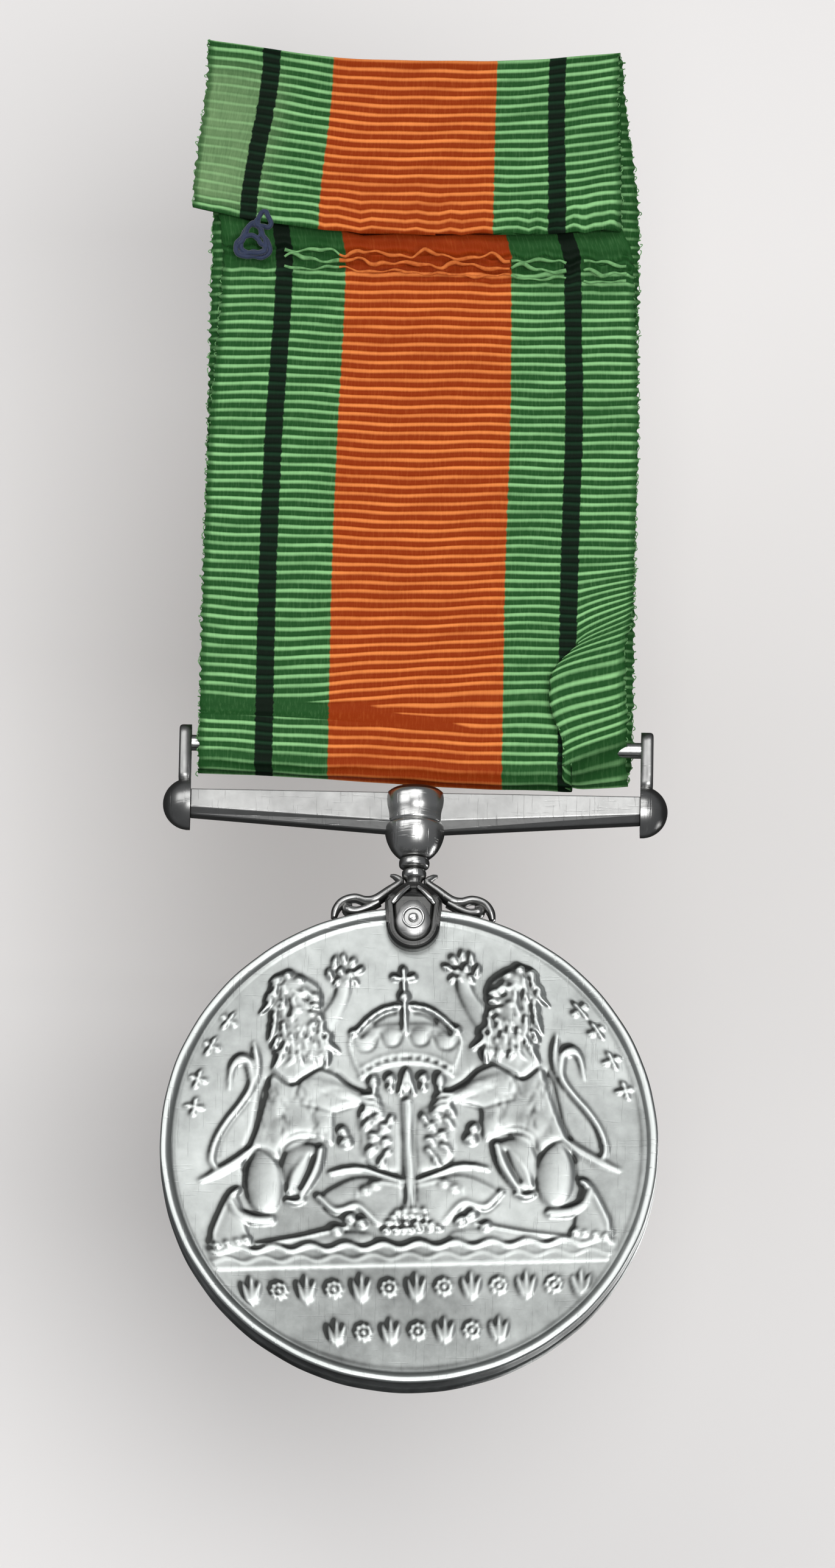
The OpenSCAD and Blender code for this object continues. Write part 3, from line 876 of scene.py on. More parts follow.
def strikeTree(relief):
    # Large lower leaves that spread over the mound, their veins and curled tips.
    for side in (-1, 1):
        def at(*points):
            return mirrored(points, side)
        relief.plate(at((-0.5, -2.6), (-2.2, -2.45), (-3.9, -2.4), (-5.2, -2.9),
                        (-6.3, -3.7), (-5.4, -4.7), (-3.9, -4.5), (-3.2, -5.1),
                        (-2.2, -6.1), (-0.6, -5.2)), 0.09, 0.14, crown=1.2)
        relief.stroke(at((-0.6, -2.75), (-2.0, -2.25), (-3.4, -1.75), (-4.6, -1.75),
                         (-5.7, -2.0)), [0.4, 0.5, 0.42, 0.42, 0.3],
                      [0.2, 0.22, 0.2, 0.2, 0.16])
        relief.stroke(at((-6.6, -3.75), (-5.6, -4.75), (-4.9, -4.75), (-3.9, -4.45),
                         (-3.2, -5.0), (-2.4, -5.9)), [0.5, 0.6, 0.5, 0.5, 0.5, 0.4],
                      [0.18, 0.2, 0.2, 0.2, 0.2, 0.16])
        relief.groove(at((-6.7, -4.1), (-5.6, -5.15), (-4.6, -5.15), (-3.6, -5.2)), 0.36, 0.09)
        relief.stroke(at((-0.6, -3.1), (-1.5, -2.9), (-2.3, -2.75), (-3.2, -3.1)),
                      [0.3, 0.36, 0.4, 0.36], [0.18, 0.2, 0.2, 0.17])
        for i in range(6):
            x, z = -3.9 + 0.34 * i, -3.55 + 0.12 * i
            relief.stroke(at((x, z + 0.3), (x + 0.12, z - 0.05), (x - 0.05, z - 0.38)),
                          [0.16, 0.24, 0.14], [0.17, 0.22, 0.16])
        for x, z in ((-4.4, -5.4), (-3.6, -5.8), (-5.4, -6.3), (-3.2, -3.4), (-2.5, -3.0)):
            relief.dome(side * -x, z, 0.5, 0.42, 0.27, side * 30)
        # Upper leaf sprays on each side of the trunk.
        relief.plate(at((-0.7, -1.9), (-1.9, -1.85), (-2.9, -1.3), (-3.45, -0.4),
                        (-3.4, 0.7), (-3.6, 1.8), (-3.3, 2.7), (-2.2, 2.9), (-1.0, 2.6),
                        (-0.6, 1.0), (-0.6, -0.6)), 0.05, 0.08)
        for x, z, size, turn in ((-2.65, -0.25, 0.46, 30), (-2.45, 0.75, 0.42, -20),
                                 (-1.6, 0.35, 0.38, 10), (-1.5, -0.5, 0.34, 40),
                                 (-1.95, -1.2, 0.4, 70), (-1.7, 1.4, 0.42, -30),
                                 (-2.9, 1.7, 0.46, 50), (-2.1, 2.2, 0.38, 0),
                                 (-1.2, 2.0, 0.36, 60), (-3.1, 2.55, 0.36, 20)):
            relief.dome(side * -x, z, size * 1.2, size * 0.72, 0.26, -side * turn)
            relief.dome(side * -x + 0.2 * side, z - 0.36, size * 0.6, size * 0.5, 0.2)
        # Sprig by the lion's knee.
        relief.dome(side * 4.75, 1.15, 0.5, 0.42, 0.26, side * 30)
        relief.dome(side * 4.5, 0.35, 0.55, 0.5, 0.28, side * -20)
        relief.groove(at((-5.3, 1.2), (-4.8, 1.75), (-4.2, 1.2), (-4.0, 0.5)), 0.3, 0.1)
        relief.groove(at((-0.45, -2.35), (-1.6, -2.05), (-2.7, -1.6), (-3.4, -0.6)),
                      0.26, 0.12)
    # Trunk and its root of pebbles.
    relief.plate([(-0.4, 3.4), (0.36, 3.4), (0.34, 0.5), (0.4, -2.2), (0.42, -4.0),
                  (0.8, -5.2), (-0.8, -5.2), (-0.4, -4.0), (-0.4, -2.2), (-0.38, 0.5)],
                 0.12, 0.18, crown=0.4)
    for i in range(3):
        x = -0.25 + 0.24 * i
        relief.groove([(x, 3.2), (x + 0.06, 0.5), (x - 0.04, -2.5), (x * 1.6, -4.8)],
                      0.16, 0.09)
    for row in range(4):
        for i in range(4 + row):
            x = 0.62 * (i - (3 + row) / 2) + 0.12 * math.sin(5 * i + 3 * row)
            z = -5.05 - 0.42 * row + 0.1 * math.sin(7 * i + row) - 0.03 * x * x
            relief.dome(x, z, 0.3 + 0.06 * math.sin(4 * i + row), 0.25, 0.27)


def strikeCrown(relief):
    # Cap with four lobes under two arches, a jewelled band, and a ball and finial on top.
    relief.plate([(-3.6, 8.3), (-2.6, 8.9), (-1.3, 9.2), (0, 9.2), (1.3, 9.2), (2.6, 8.9),
                  (3.6, 8.3), (3.9, 7.6), (3.65, 6.6), (3.1, 5.3), (1.7, 5.9), (0, 6.1),
                  (-1.7, 5.9), (-3.1, 5.3), (-3.7, 6.6), (-4.0, 7.6)], 0.06, 0.09)
    for x, z, wide in ((-2.95, 8.0, 0.95), (-1.0, 8.35, 0.85), (1.05, 8.35, 0.85),
                       (2.95, 8.0, 0.95)):
        relief.dome(x, z, wide * 0.9, 0.66, 0.14)
        relief.groove([(x - wide, z + 0.2), (x - 0.6 * wide, z - 0.62), (x, z - 0.85),
                       (x + 0.6 * wide, z - 0.62), (x + wide, z + 0.2)], 0.26, 0.10)
    for side in (-1, 1):
        arch = [(side * 0.35, 10.55), (side * 1.5, 10.35), (side * 2.6, 9.65),
                (side * 3.45, 8.75)]
        relief.stroke(arch, 0.34, 0.24)
        relief.groove([(p[0] * 0.93, p[1] - 0.4) for p in arch], 0.5, 0.12)
        relief.stroke([(side * 3.9, 8.3), (side * 4.05, 7.6), (side * 3.75, 6.5),
                       (side * 3.25, 5.2)], [0.2, 0.22, 0.2, 0.16], 0.11)
        for i in range(5):
            relief.dome(side * (0.55 + 0.62 * i), 6.62 - 0.055 * i * i, 0.2, 0.17, 0.2)
        relief.dome(side * 3.75, 8.6, 0.34, 0.3, 0.28)
        for i in range(5):
            x, z = smoothPath(arch, 5)[2 + 3 * i]
            relief.dome(x, z, 0.17, 0.17, 0.38)
    relief.stroke([(0, 10.4), (0, 9.2), (0, 8.6)], [0.34, 0.4, 0.6], [0.27, 0.24, 0.22])
    for level, width, top in ((6.85, 0.22, 0.14), (6.2, 0.24, 0.16)):
        relief.stroke([(-3.3, level - 1.0), (-1.8, level - 0.2), (0, level + 0.08),
                       (1.8, level - 0.2), (3.3, level - 1.0)], width, top)
    relief.groove([(-3.2, 5.65), (-1.8, 6.4), (0, 6.65), (1.8, 6.4), (3.2, 5.65)], 0.2, 0.08)
    for i in range(5):
        x = -2.4 + 1.2 * i
        relief.dome(x, 5.15 - 0.05 * x * x, 0.42, 0.62 if i % 2 == 0 else 0.4, 0.27)
        relief.dome(x, 4.45 - 0.05 * x * x, 0.26, 0.34, 0.24)
    relief.stroke([(-0.5, 3.9), (0, 5.7), (0.5, 3.9)], [0.26, 0.24, 0.26], 0.28)
    relief.dome(0, 11.25, 0.44, 0.5, 0.36)
    relief.stroke([(0, 10.8), (0, 9.9)], [0.3, 0.36], 0.36)
    relief.stroke([(0, 11.8), (0, 13.3)], [0.24, 0.5], 0.3)
    relief.stroke([(-0.72, 12.75), (0, 12.6), (0.72, 12.75)], [0.5, 0.26, 0.5], 0.3)


def strikeGround(relief):
    # Two rows of waves under a sloping bank.
    x, z = relief.x, relief.z
    inside = soft(14.9, 14.2, np.abs(x))
    for level, phase, width, top in ((-7.6, 0.4, 0.28, 0.2), (-8.4, 2.2, 0.2, 0.13),
                                     (-9.0, 0.0, 0.12, 0.1)):
        sway = 0.2 * (level > -8.8)
        crest = level + sway * np.sin(2 * np.pi * x / 2.62 + phase)
        band = np.clip(1 - ((z - crest) / width) ** 2, 0, 1) ** 0.5
        relief.height = np.maximum(relief.height, top * band * inside)
    body = np.clip((z + 9.15) / 0.12, 0, 1) * np.clip((-7.5 - z) / 0.12, 0, 1)
    relief.height = np.maximum(relief.height, 0.07 * body * inside)
    for side in (-1, 1):
        relief.plate([(side * 6.2, -6.45), (side * 8.8, -6.75), (side * 11.4, -7.2),
                      (side * 8.8, -7.4), (side * 6.2, -7.4), (side * 3, -7.3),
                      (side * 3.2, -6.6)], 0.06, 0.09)
        relief.stroke([(side * 11.2, -7.25), (side * 8.2, -6.85), (side * 6.3, -6.45),
                       (side * 4.6, -6.1)], [0.2, 0.3, 0.34, 0.2], 0.16)


def strikeOrnaments(relief):
    # Plain pointed leaves and rings stand in rows below, and pellets at the sides.
    for level, count, pitch, tall in ((-10.75, 13, 1.98, 1.15), (-14.05, 7, 1.95, 1.05)):
        for i in range(count):
            x = (i - (count - 1) / 2) * pitch + 0.25
            if i % 2:
                for turn in range(8):
                    a = turn * math.pi / 4
                    relief.dome(x + 0.5 * math.cos(a), level + 0.5 * math.sin(a), 0.2, 0.2,
                                0.17)
                relief.dome(x, level, 0.22, 0.22, 0.2)
            else:
                for lean in (-1, 0, 1):
                    relief.dome(x + 0.42 * lean, level - 0.1 * abs(lean) * tall,
                                0.27, tall * (1 - 0.25 * abs(lean)), 0.18, -16 * lean)
    for x, z in ((-15.4, 3.3), (-15.1, 5.4), (-14.1, 7.9), (-12.8, 9.8),
                 (12.7, 9.9), (13.9, 8.3), (14.9, 6.0), (15.8, 3.7)):
        for turn in range(4):
            a = turn * math.pi / 2 + math.atan2(z, x)
            relief.dome(x + 0.45 * math.cos(a), z + 0.45 * math.sin(a), 0.34, 0.2, 0.16,
                        math.degrees(a))
        relief.dome(x, z, 0.2, 0.2, 0.2)


def strikeWreath(relief):
    # The unseen side: a plain laurel wreath round an open middle.
    for side in (-1, 1):
        for i in range(15):
            a = math.radians(-78 + 11.2 * i)
            for lean in (-1, 1):
                r = 11.6 + 0.95 * lean
                relief.dome(side * r * math.cos(a), r * math.sin(a), 1.25, 0.5, 0.26,
                            side * (math.degrees(a) + 90 - 26 * lean))
            relief.dome(side * 12.9 * math.cos(a + 0.1), 12.9 * math.sin(a + 0.1),
                        0.24, 0.24, 0.24)
    relief.stroke([(-1.6, -12.6), (0, -11.6), (1.6, -12.6)], 0.5, 0.28)
    relief.stroke([(-1.6, -10.6), (0, -11.6), (1.6, -10.6)], 0.5, 0.28)
    relief.dome(0, -11.6, 0.6, 0.6, 0.34)


def blurred(grid, times):
    for _ in range(times):
        padded = np.pad(grid, 1, mode="edge")
        grid = (padded[:-2, 1:-1] + padded[2:, 1:-1] + padded[1:-1, :-2]
                + padded[1:-1, 2:] + 2 * grid) / 6
    return grid


# One half of the disc, from its middle plane to a struck face. faceY is -1 for the face
# with the lions and 1 for the other.
def makeDiscHalf(look, name, cells, strikes, faceY):
    bm = bmesh.new()
    bmesh.ops.create_grid(bm, x_segments=cells, y_segments=cells, size=1)
    bm.verts.ensure_lookup_table()
    flat = np.array([v.co[:2] for v in bm.verts])
    column = np.rint((flat[:, 0] + 1) / 2 * cells).astype(int)
    row = np.rint((flat[:, 1] + 1) / 2 * cells).astype(int)
    u, v = np.meshgrid(np.linspace(-1, 1, cells + 1), np.linspace(-1, 1, cells + 1))
    x = look["fieldRadius"] * u * np.sqrt(1 - v * v / 2)
    z = look["fieldRadius"] * v * np.sqrt(1 - u * u / 2)
    relief = Relief(x, z)
    for strike in strikes:
        strike(relief)
    radius = np.hypot(x, z)
    height = blurred(relief.height, look["wear"])
    # The die's field is very slightly hollow.
    inField = soft(look["reliefRadius"], look["reliefRadius"] - 0.5, radius)
    height = (look["strength"] * height * inField
              - look["hollow"] * (1 - (radius / look["fieldRadius"]) ** 2)
              + look["fillet"] * soft(look["filletFrom"], look["fieldRadius"], radius))
    # The hollows are painted darker: partly tarnish, and partly painted shade, which the
    # shifted blur lays above and beside the raised shapes.
    shaded = np.roll(blurred(height, 4), (1, -1 if faceY < 0 else 1), (0, 1))
    tone = look["toneShare"] * (shaded - height) * inField
    a = math.radians(look["turn"])
    placeX = x * math.cos(a) - z * math.sin(a)
    placeZ = x * math.sin(a) + z * math.cos(a)
    faceAt = look["rimY"] - look["fieldDrop"] + height
    tones = bm.verts.layers.float.new("tone")
    for vert, i, j in zip(bm.verts, row, column):
        vert.co = (placeX[i, j] * mm * -faceY, faceY * faceAt[i, j] * mm,
                   (look["centreZ"] + placeZ[i, j]) * mm)
        vert[tones] = tone[i, j]
    # The raised rim is drawn out ring by ring, each a radius, a Y and a tone, and then
    # turned in to the middle plane. The tones paint the top of the rim lighter and its outer
    # wall darker, the wall as painted shade.
    rimY, drop, r = look["rimY"], look["fieldDrop"], look["radius"]
    rings = ((17.24, rimY - drop + 0.13, 0.0), (17.37, rimY - 0.14, -0.01),
             (17.5, rimY - 0.04, -0.03), (17.64, rimY, -0.04), (17.84, rimY, -0.05),
             (17.94, rimY - 0.05, -0.03), (r, rimY - 0.16, 0.01), (r, rimY - 0.3, 0.02),
             (r, 0, 0.01))
    edges = [e for e in bm.edges if e.is_boundary]
    centre = Vector((0, 0, look["centreZ"] * mm))
    for ringRadius, ringY, ringTone in rings:
        made = bmesh.ops.extrude_edge_only(bm, edges=edges)["geom"]
        edges = [g for g in made if isinstance(g, bmesh.types.BMEdge)]
        for vert in (g for g in made if isinstance(g, bmesh.types.BMVert)):
            out = vert.co - centre
            angle = math.atan2(out.z, out.x)
            worn = look["rimWear"] * math.sin(7 * angle + 1) * math.sin(23 * angle)
            worn *= ringRadius > rings[0][0]
            size = (ringRadius + worn) * mm / math.hypot(out.x, out.z)
            vert.co = centre + Vector((out.x * size, 0, out.z * size))
            vert.co.y = faceY * ringY * mm
            vert[tones] = ringTone
    bmesh.ops.holes_fill(bm, edges=edges, sides=0)
    bmesh.ops.recalc_face_normals(bm, faces=bm.faces)
    return meshFrom(bm, name)


# Each silver's polished colour, its dark colour for tarnish and painted shade, roughness,
# and how hollow a place is where it is fully dark.
silverLook = {
    "struckSilver": ((0.55, 0.575, 0.56), (0.05, 0.052, 0.05), 0.38, 0.045),
    "wornSilver": ((0.50, 0.50, 0.49), (0.09, 0.09, 0.088), 0.3, 0.05),
    "turnedSilver": ((0.56, 0.56, 0.55), (0.06, 0.06, 0.058), 0.24, 0.06),
    "tarnishedShadedSilver": ((0.085, 0.085, 0.083), (0.02, 0.02, 0.019), 0.36, 0.05),
    "brightSilver": ((0.8, 0.8, 0.79), (0.05, 0.05, 0.048), 0.22, 0.1),
    "bossSilver": ((0.66, 0.66, 0.65), (0.08, 0.08, 0.078), 0.34, 0.08),
    "footZ": -91.5 * mm,
    "footReach": 6.25 * mm,
    "footPaintedShade": 0.14,
    "scratchAlong": (6000.0, 300.0, 260.0),
    "scratchAcross": (280.0, 300.0, 5200.0),
}


def silverPaint(look, name):
    bright, dark, roughness, toneReach = look[name]
    paint = Paint(name, Metallic=1.0, IOR=2.0)
    where = paint.place()
    wide = paint.noise(where, 90.0, 4.0, 0.6)
    fine = paint.noise(where, 900.0, 3.0, 0.6)
    streaks = paint.noise(paint.node("ShaderNodeMapping", {}, Vector=where,
                                     Rotation=(0.0, 0.6, 0.0), Scale=look["scratchAlong"]),
                          1.0, 2.0, 0.6)
    crossing = paint.noise(paint.node("ShaderNodeMapping", {}, Vector=where,
                                      Rotation=(0.0, -0.5, 0.0), Scale=look["scratchAcross"]),
                           1.0, 2.0, 0.6)
    tone = paint.attribute("tone")
    height = paint.node("ShaderNodeSeparateXYZ", {}, Vector=where, output="Z")
    # The disc's foot is painted a little darker, as painted shade.
    foot = paint.clamped((height - look["footZ"]) * (-1 / look["footReach"]))
    toned = (tone * (1 / toneReach) * (0.55 + wide * 0.9) + (wide - 0.5) * 0.75
             + (fine - 0.5) * 0.35 + foot * look["footPaintedShade"] + 0.4)
    share = paint.clamped(toned)
    colour = paint.mix(share, bright, dark)
    scratches = streaks.above(0.66, 0.06) + crossing.above(0.67, 0.06)
    relief = fine * 0.5 + wide * 0.7 - scratches * 0.3
    paint.surface(Base_Color=colour,
                  Roughness=roughness + (wide - 0.5) * 0.2 + share * 0.14,
                  Normal=paint.bump(relief, 0.4, 0.00005))
    return paint.material


discFront = makeDiscHalf(
    discLook, "disc_lion_side", discLook["faceCells"],
    (strikeGround, strikeTree, strikeCrown, strikeLions, strikeOrnaments), -1)
discBack = makeDiscHalf(discLook, "disc_wreath_side", discLook["backCells"],
                        (strikeWreath,), 1)
struckSilver = silverPaint(silverLook, "struckSilver")
for mesh in (discFront, discBack):
    addPiece(mesh.name, mesh, "medal", struckSilver, ("medal_disc",))
print("disc:", len(discFront.polygons), "and", len(discBack.polygons), "faces")


def nodeMiddle(name):
    low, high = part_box(name)
    return (low + high) / 2 / mm


def makeSpun(name, profile, steps=56):
    # Turns a profile of radius and height about the vertical through the medal's middle.
    bm = bmesh.new()
    line = [bm.verts.new((r * mm, 0, z * mm)) for r, z in profile]
    edges = [bm.edges.new(pair) for pair in zip(line, line[1:])]
    bmesh.ops.spin(bm, geom=line + edges, cent=(0, 0, 0), axis=(0, 0, 1),
                   angle=2 * math.pi, steps=steps, use_merge=True)
    bmesh.ops.remove_doubles(bm, verts=bm.verts, dist=1e-7)
    bmesh.ops.recalc_face_normals(bm, faces=bm.faces)
    return meshFrom(bm, name)


def markHollows(mesh, strength=1.0):
    # Notes how hollow the surface is at each point, for the tarnish in its grooves.
    bm = bmesh.new()
    bm.from_mesh(mesh)
    tones = bm.verts.layers.float.new("tone")
    for vert in bm.verts:
        around = [e.other_vert(vert).co for e in vert.link_edges]
        mean = sum(around, Vector()) / max(len(around), 1)
        vert[tones] = max(-0.06, min(0.12, strength * (mean - vert.co).dot(vert.normal) / mm))
    bm.to_mesh(mesh)
    bm.free()
    return mesh


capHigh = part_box("stem_cap")[1]
stemLow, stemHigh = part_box("stem")
stemLook = {
    "topPaintedShade": 0.12,
    "topZ": capHigh.z / mm,
    "bottomZ": stemHigh.z / mm,
    "radius": capHigh.y / mm,
    "barrelRadius": 2.2,
    "endZ": stemLow.z / mm,
    "ringRadius": 1.1,
    "beadRadius": 0.86,
}


def capProfile(look):
    r, top, low = look["radius"], look["topZ"], look["bottomZ"]
    return [(0, top)] + smoothPath([
        (r - 1.1, top), (r - 0.5, top - 0.12), (r - 0.1, top - 0.5), (r, top - 0.95),
        (r - 0.03, top - 1.5), (r - 0.14, top - 2.05), (r - 0.17, low + 0.16)], 4) + [
        (r - 0.24, low + 0.05), (r - 0.3, low), (0, low)]


def stemProfile(look):
    r, top, ring, bead = (look["barrelRadius"], look["bottomZ"], look["ringRadius"],
                          look["beadRadius"])
    ringZ = top - 2.7
    barrel = smoothPath([
        (r - 0.25, top), (r - 0.06, top - 0.12), (r, top - 0.4), (r - 0.08, top - 0.9),
        (r - 0.24, top - 1.4), (r - 0.5, top - 1.9), (r - 0.85, top - 2.3),
        (r - 1.15, top - 2.5), (0.8, ringZ + 0.14)], 4)
    collar = smoothPath([
        (0.72, ringZ + 0.12), (ring - 0.1, ringZ + 0.08), (ring, ringZ - 0.08),
        (ring, ringZ - 0.4), (ring - 0.12, ringZ - 0.55), (0.6, ringZ - 0.66)], 4)
    drop = smoothPath([
        (0.6, ringZ - 0.68), (bead, ringZ - 0.85), (bead, ringZ - 1.25),
        (0.62, ringZ - 1.6), (0.6, look["endZ"])], 4)
    return [(0, top)] + barrel + collar + drop + [(0, look["endZ"])]


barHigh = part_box("suspender_bar")[1]
barLook = {
    "topPaintedShade": 0.12,
    "half": barHigh.x / mm,
    "topZ": barHigh.z / mm,
    "halfDepth": barHigh.y / mm,
    "endHeight": 1.35,
    "midHeight": 2.2,
    "bevelShare": 0.35,
    "edge": 0.09,
}


def makeBar(look):
    def section(x, height):
        half, top = look["halfDepth"], look["topZ"]
        low = top - height * (1 + look["bevelShare"])
        return [Vector((x, y, z)) * mm for y, z in (
            (-half, top), (half, top), (half, top - height), (half / 2, low),
            (-half / 2, low), (-half, top - height))]

    bm = bmesh.new()
    outline = [bm.verts.new(p) for p in section(-look["half"], look["endHeight"])]
    face = bm.faces.new(outline)
    for x, height in ((0, look["midHeight"]), (look["half"], look["endHeight"])):
        made = bmesh.ops.extrude_face_region(bm, geom=[face])["geom"]
        face = [g for g in made if isinstance(g, bmesh.types.BMFace)][0]
        for vert, to in zip(face.verts, section(x, height)):
            vert.co = to
        if x == 0:
            middle = face
    bm.faces.remove(middle)
    bmesh.ops.recalc_face_normals(bm, faces=bm.faces)
    sharp = [e for e in bm.edges if e.calc_face_angle(0) > 0.3]
    bmesh.ops.bevel(bm, geom=sharp, offset=look["edge"] * mm, segments=3, profile=0.5,
                    affect="EDGES", material=-1)
    # The bar's top face is painted darker, as painted shade.
    tones = bm.verts.layers.float.new("tone")
    for vert in bm.verts:
        vert[tones] = look["topPaintedShade"] * (vert.co.z > (look["topZ"] - 0.02) * mm)
    return meshFrom(bm, "suspender_bar_polished")


postLook = {"edge": 0.24, "topRadius": 0.9}


def makePost(look, node):
    # A flat tab with a round top, standing on the dome, with softened edges.
    low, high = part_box(node)
    bottom = low.z / mm + 0.02
    topZ = high.z / mm - look["topRadius"]
    r = look["topRadius"]
    outline = [(-r * 1.02, bottom), (-r * 0.86, bottom + 0.55), (-r, bottom + 0.95)]
    outline += [(-r * math.cos(a), topZ + r * math.sin(a)) for a in np.linspace(0, math.pi, 15)]
    outline += [(-y, z) for y, z in outline[2::-1]]
    bm = bmesh.new()
    face = bm.faces.new([bm.verts.new((low.x, y * mm, z * mm)) for y, z in outline])
    made = bmesh.ops.extrude_face_region(bm, geom=[face])["geom"]
    far = [g for g in made if isinstance(g, bmesh.types.BMVert)]
    bmesh.ops.translate(bm, verts=far, vec=(high.x - low.x, 0, 0))
    bmesh.ops.recalc_face_normals(bm, faces=bm.faces)
    outer = high.x if high.x > 0 else low.x
    rim = [e for e in bm.edges if all(abs(v.co.x - outer) < 1e-7 for v in e.verts)]
    bmesh.ops.bevel(bm, geom=rim, offset=look["edge"] * mm, segments=4, profile=0.5,
                    affect="EDGES", material=-1)
    return meshFrom(bm, node + "_polished")


clawLow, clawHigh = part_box("claw")
clawLook = {
    "topZ": clawHigh.z / mm,
    "bottomZ": clawLow.z / mm,
    "shoulder": clawHigh.x / mm,
    "toeRadius": 1.95,
    "faceY": clawHigh.y / mm - 0.2,
    "discTopZ": discHigh.z / mm,
    "edge": 0.36,
    "neck": 0.42,
    "frameWidth": 0.16,
    "panelDrop": 0.16,
    "lean": 0.42,
}


def clawOutline(look):
    shoulderZ = look["discTopZ"] + 0.4
    rise = look["topZ"] - shoulderZ
    toeZ = look["bottomZ"] + look["toeRadius"]
    flank = [(0, look["topZ"])] + [
        (look["neck"] + (look["shoulder"] - look["neck"]) * u,
         look["topZ"] - rise * (u - 0.05 * math.sin(math.pi * u)))
        for u in np.linspace(0.02, 1, 8)]
    toe = [(look["toeRadius"] * math.cos(a), toeZ - look["toeRadius"] * math.sin(a))
           for a in np.linspace(0, math.pi, 25)]
    return flank + toe + [(-x, z) for x, z in flank[:0:-1]]


def makeClaw(look):
    bm = bmesh.new()
    full, slope = look["faceY"], look["discTopZ"] + 0.6
    inner = discLook["rimY"] - discLook["fieldDrop"] - 0.03
    for side in (-1, 1):
        outline = clawOutline(look)
        face = bm.faces.new([bm.verts.new((x * mm, side * inner * mm, z * mm))
                             for x, z in outline])
        made = bmesh.ops.extrude_face_region(bm, geom=[face])["geom"]
        front = [g for g in made if isinstance(g, bmesh.types.BMFace)][0]
        for vert in front.verts:
            vert.co.y = side * full * mm
        bmesh.ops.bevel(bm, geom=front.edges[:], offset=look["edge"] * mm, segments=4,
                        profile=0.5, affect="EDGES", material=-1)
        front = max((f for f in bm.faces if abs(f.calc_center_median().y - side * full * mm)
                     < 1e-6), key=lambda f: f.calc_area())
        bmesh.ops.recalc_face_normals(bm, faces=bm.faces)
        bmesh.ops.inset_region(bm, faces=[front], thickness=look["frameWidth"] * mm,
                               depth=0, use_even_offset=True)
        bmesh.ops.inset_region(bm, faces=[front], thickness=0.14 * mm,
                               depth=-look["panelDrop"] * mm, use_even_offset=True)
        bmesh.ops.inset_region(bm, faces=[front], thickness=0.16 * mm,
                               depth=0.06 * mm, use_even_offset=True)
    # Cuts across the faces let them lean in towards the stem above the disc.
    for z in np.linspace(slope, look["topZ"], 5)[:-1]:
        bmesh.ops.bisect_plane(bm, geom=bm.verts[:] + bm.edges[:] + bm.faces[:],
                               plane_co=(0, 0, z * mm), plane_no=(0, 0, 1))
    # Above the disc the two cheeks run together.
    for vert in bm.verts:
        z = vert.co.z / mm
        rise = float(soft(slope, look["topZ"], z))
        if abs(vert.co.y) < 1.3 * mm and z > look["discTopZ"] + 0.15:
            vert.co.y *= 0.02
        else:
            vert.co.y *= 1 - look["lean"] * rise
    bmesh.ops.recalc_face_normals(bm, faces=bm.faces)
    return meshFrom(bm, "claw_forged")


bossLook = {
    "wide": 1.36,
    "above": 1.7,
    "below": 1.42,
    "narrowing": 0.12,
    "faceY": 1.68,
    "swell": 0.52,
    "drop": 0.1,
}


def makeBoss(look):
    # An egg-shaped boss on both cheeks, flat on top, round the rivet.
    bm = bmesh.new()
    at = nodeMiddle("claw_rivet")
    for side in (-1, 1):
        made = bmesh.ops.create_uvsphere(bm, u_segments=40, v_segments=20, radius=1)["verts"]
        for vert in made:
            x, y, z = vert.co
            egg = look["above"] if z > 0 else look["below"]
            narrow = 1 - look["narrowing"] * max(z, 0)
            faceY = look["faceY"] + look["swell"] * np.clip(y, -0.6, 0.85)
            vert.co = Vector((look["wide"] * x * narrow, side * faceY,
                              at.z - look["drop"] + egg * z)) * mm
    bmesh.ops.recalc_face_normals(bm, faces=bm.faces)
    return meshFrom(bm, "claw_boss")


# Each point of a rib: X, share of the cheek's Y, Z and radius.
ribLook = {
    "y": clawLook["faceY"] + 0.02,
    "line": ((0.3, 0.78, -65.95, 0.14), (0.8, 0.91, -66.45, 0.2), (1.25, 1.0, -67.0, 0.2),
             (1.55, 1.0, -67.4, 0.12)),
}


def makeRibs(look):
    # Two bright ribs on each cheek run down from the stem and frame the top of the boss.
    lines = [[(side * x, face * look["y"] * share, z, radius)
              for x, share, z, radius in look["line"]] for side in (-1, 1) for face in (-1, 1)]
    return makeTube("claw_ribs", lines, sides=8)


# The head's profile is in radius and depth below its top.
rivetLook = {
    "headY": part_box("claw_rivet")[1].y / mm,
    "profile": ((0, 0), (0.2, 0.02), (0.32, 0.08), (0.37, 0.18), (0.38, 0.3), (0.5, 0.34),
                (0.63, 0.3), (0.7, 0.12), (0.78, 0.1), (0.84, 0.22), (0.84, 0.45), (0.36, 0.45)),
    "darkRing": (0.375, 0.65),
    "ringTone": 0.2,
}


def makeRivet(look):
    # Peened heads in sunk rings, which are painted dark.
    at = nodeMiddle("claw_rivet")
    profile = [(r, look["headY"] - depth) for r, depth in look["profile"]]
    profile += [(r, -y) for r, y in profile[::-1]]
    mesh = markHollows(makeSpun("claw_rivet_peened", profile, 32), 2.0)
    inner, outer = look["darkRing"]
    for vert, tone in zip(mesh.vertices, mesh.attributes["tone"].data):
        if inner < math.hypot(vert.co.x, vert.co.y) / mm < outer:
            tone.value = look["ringTone"]
    mesh.transform(Matrix.Translation((0, 0, at.z * mm)) @ Matrix.Rotation(math.pi / 2, 4, "X"))
    return mesh


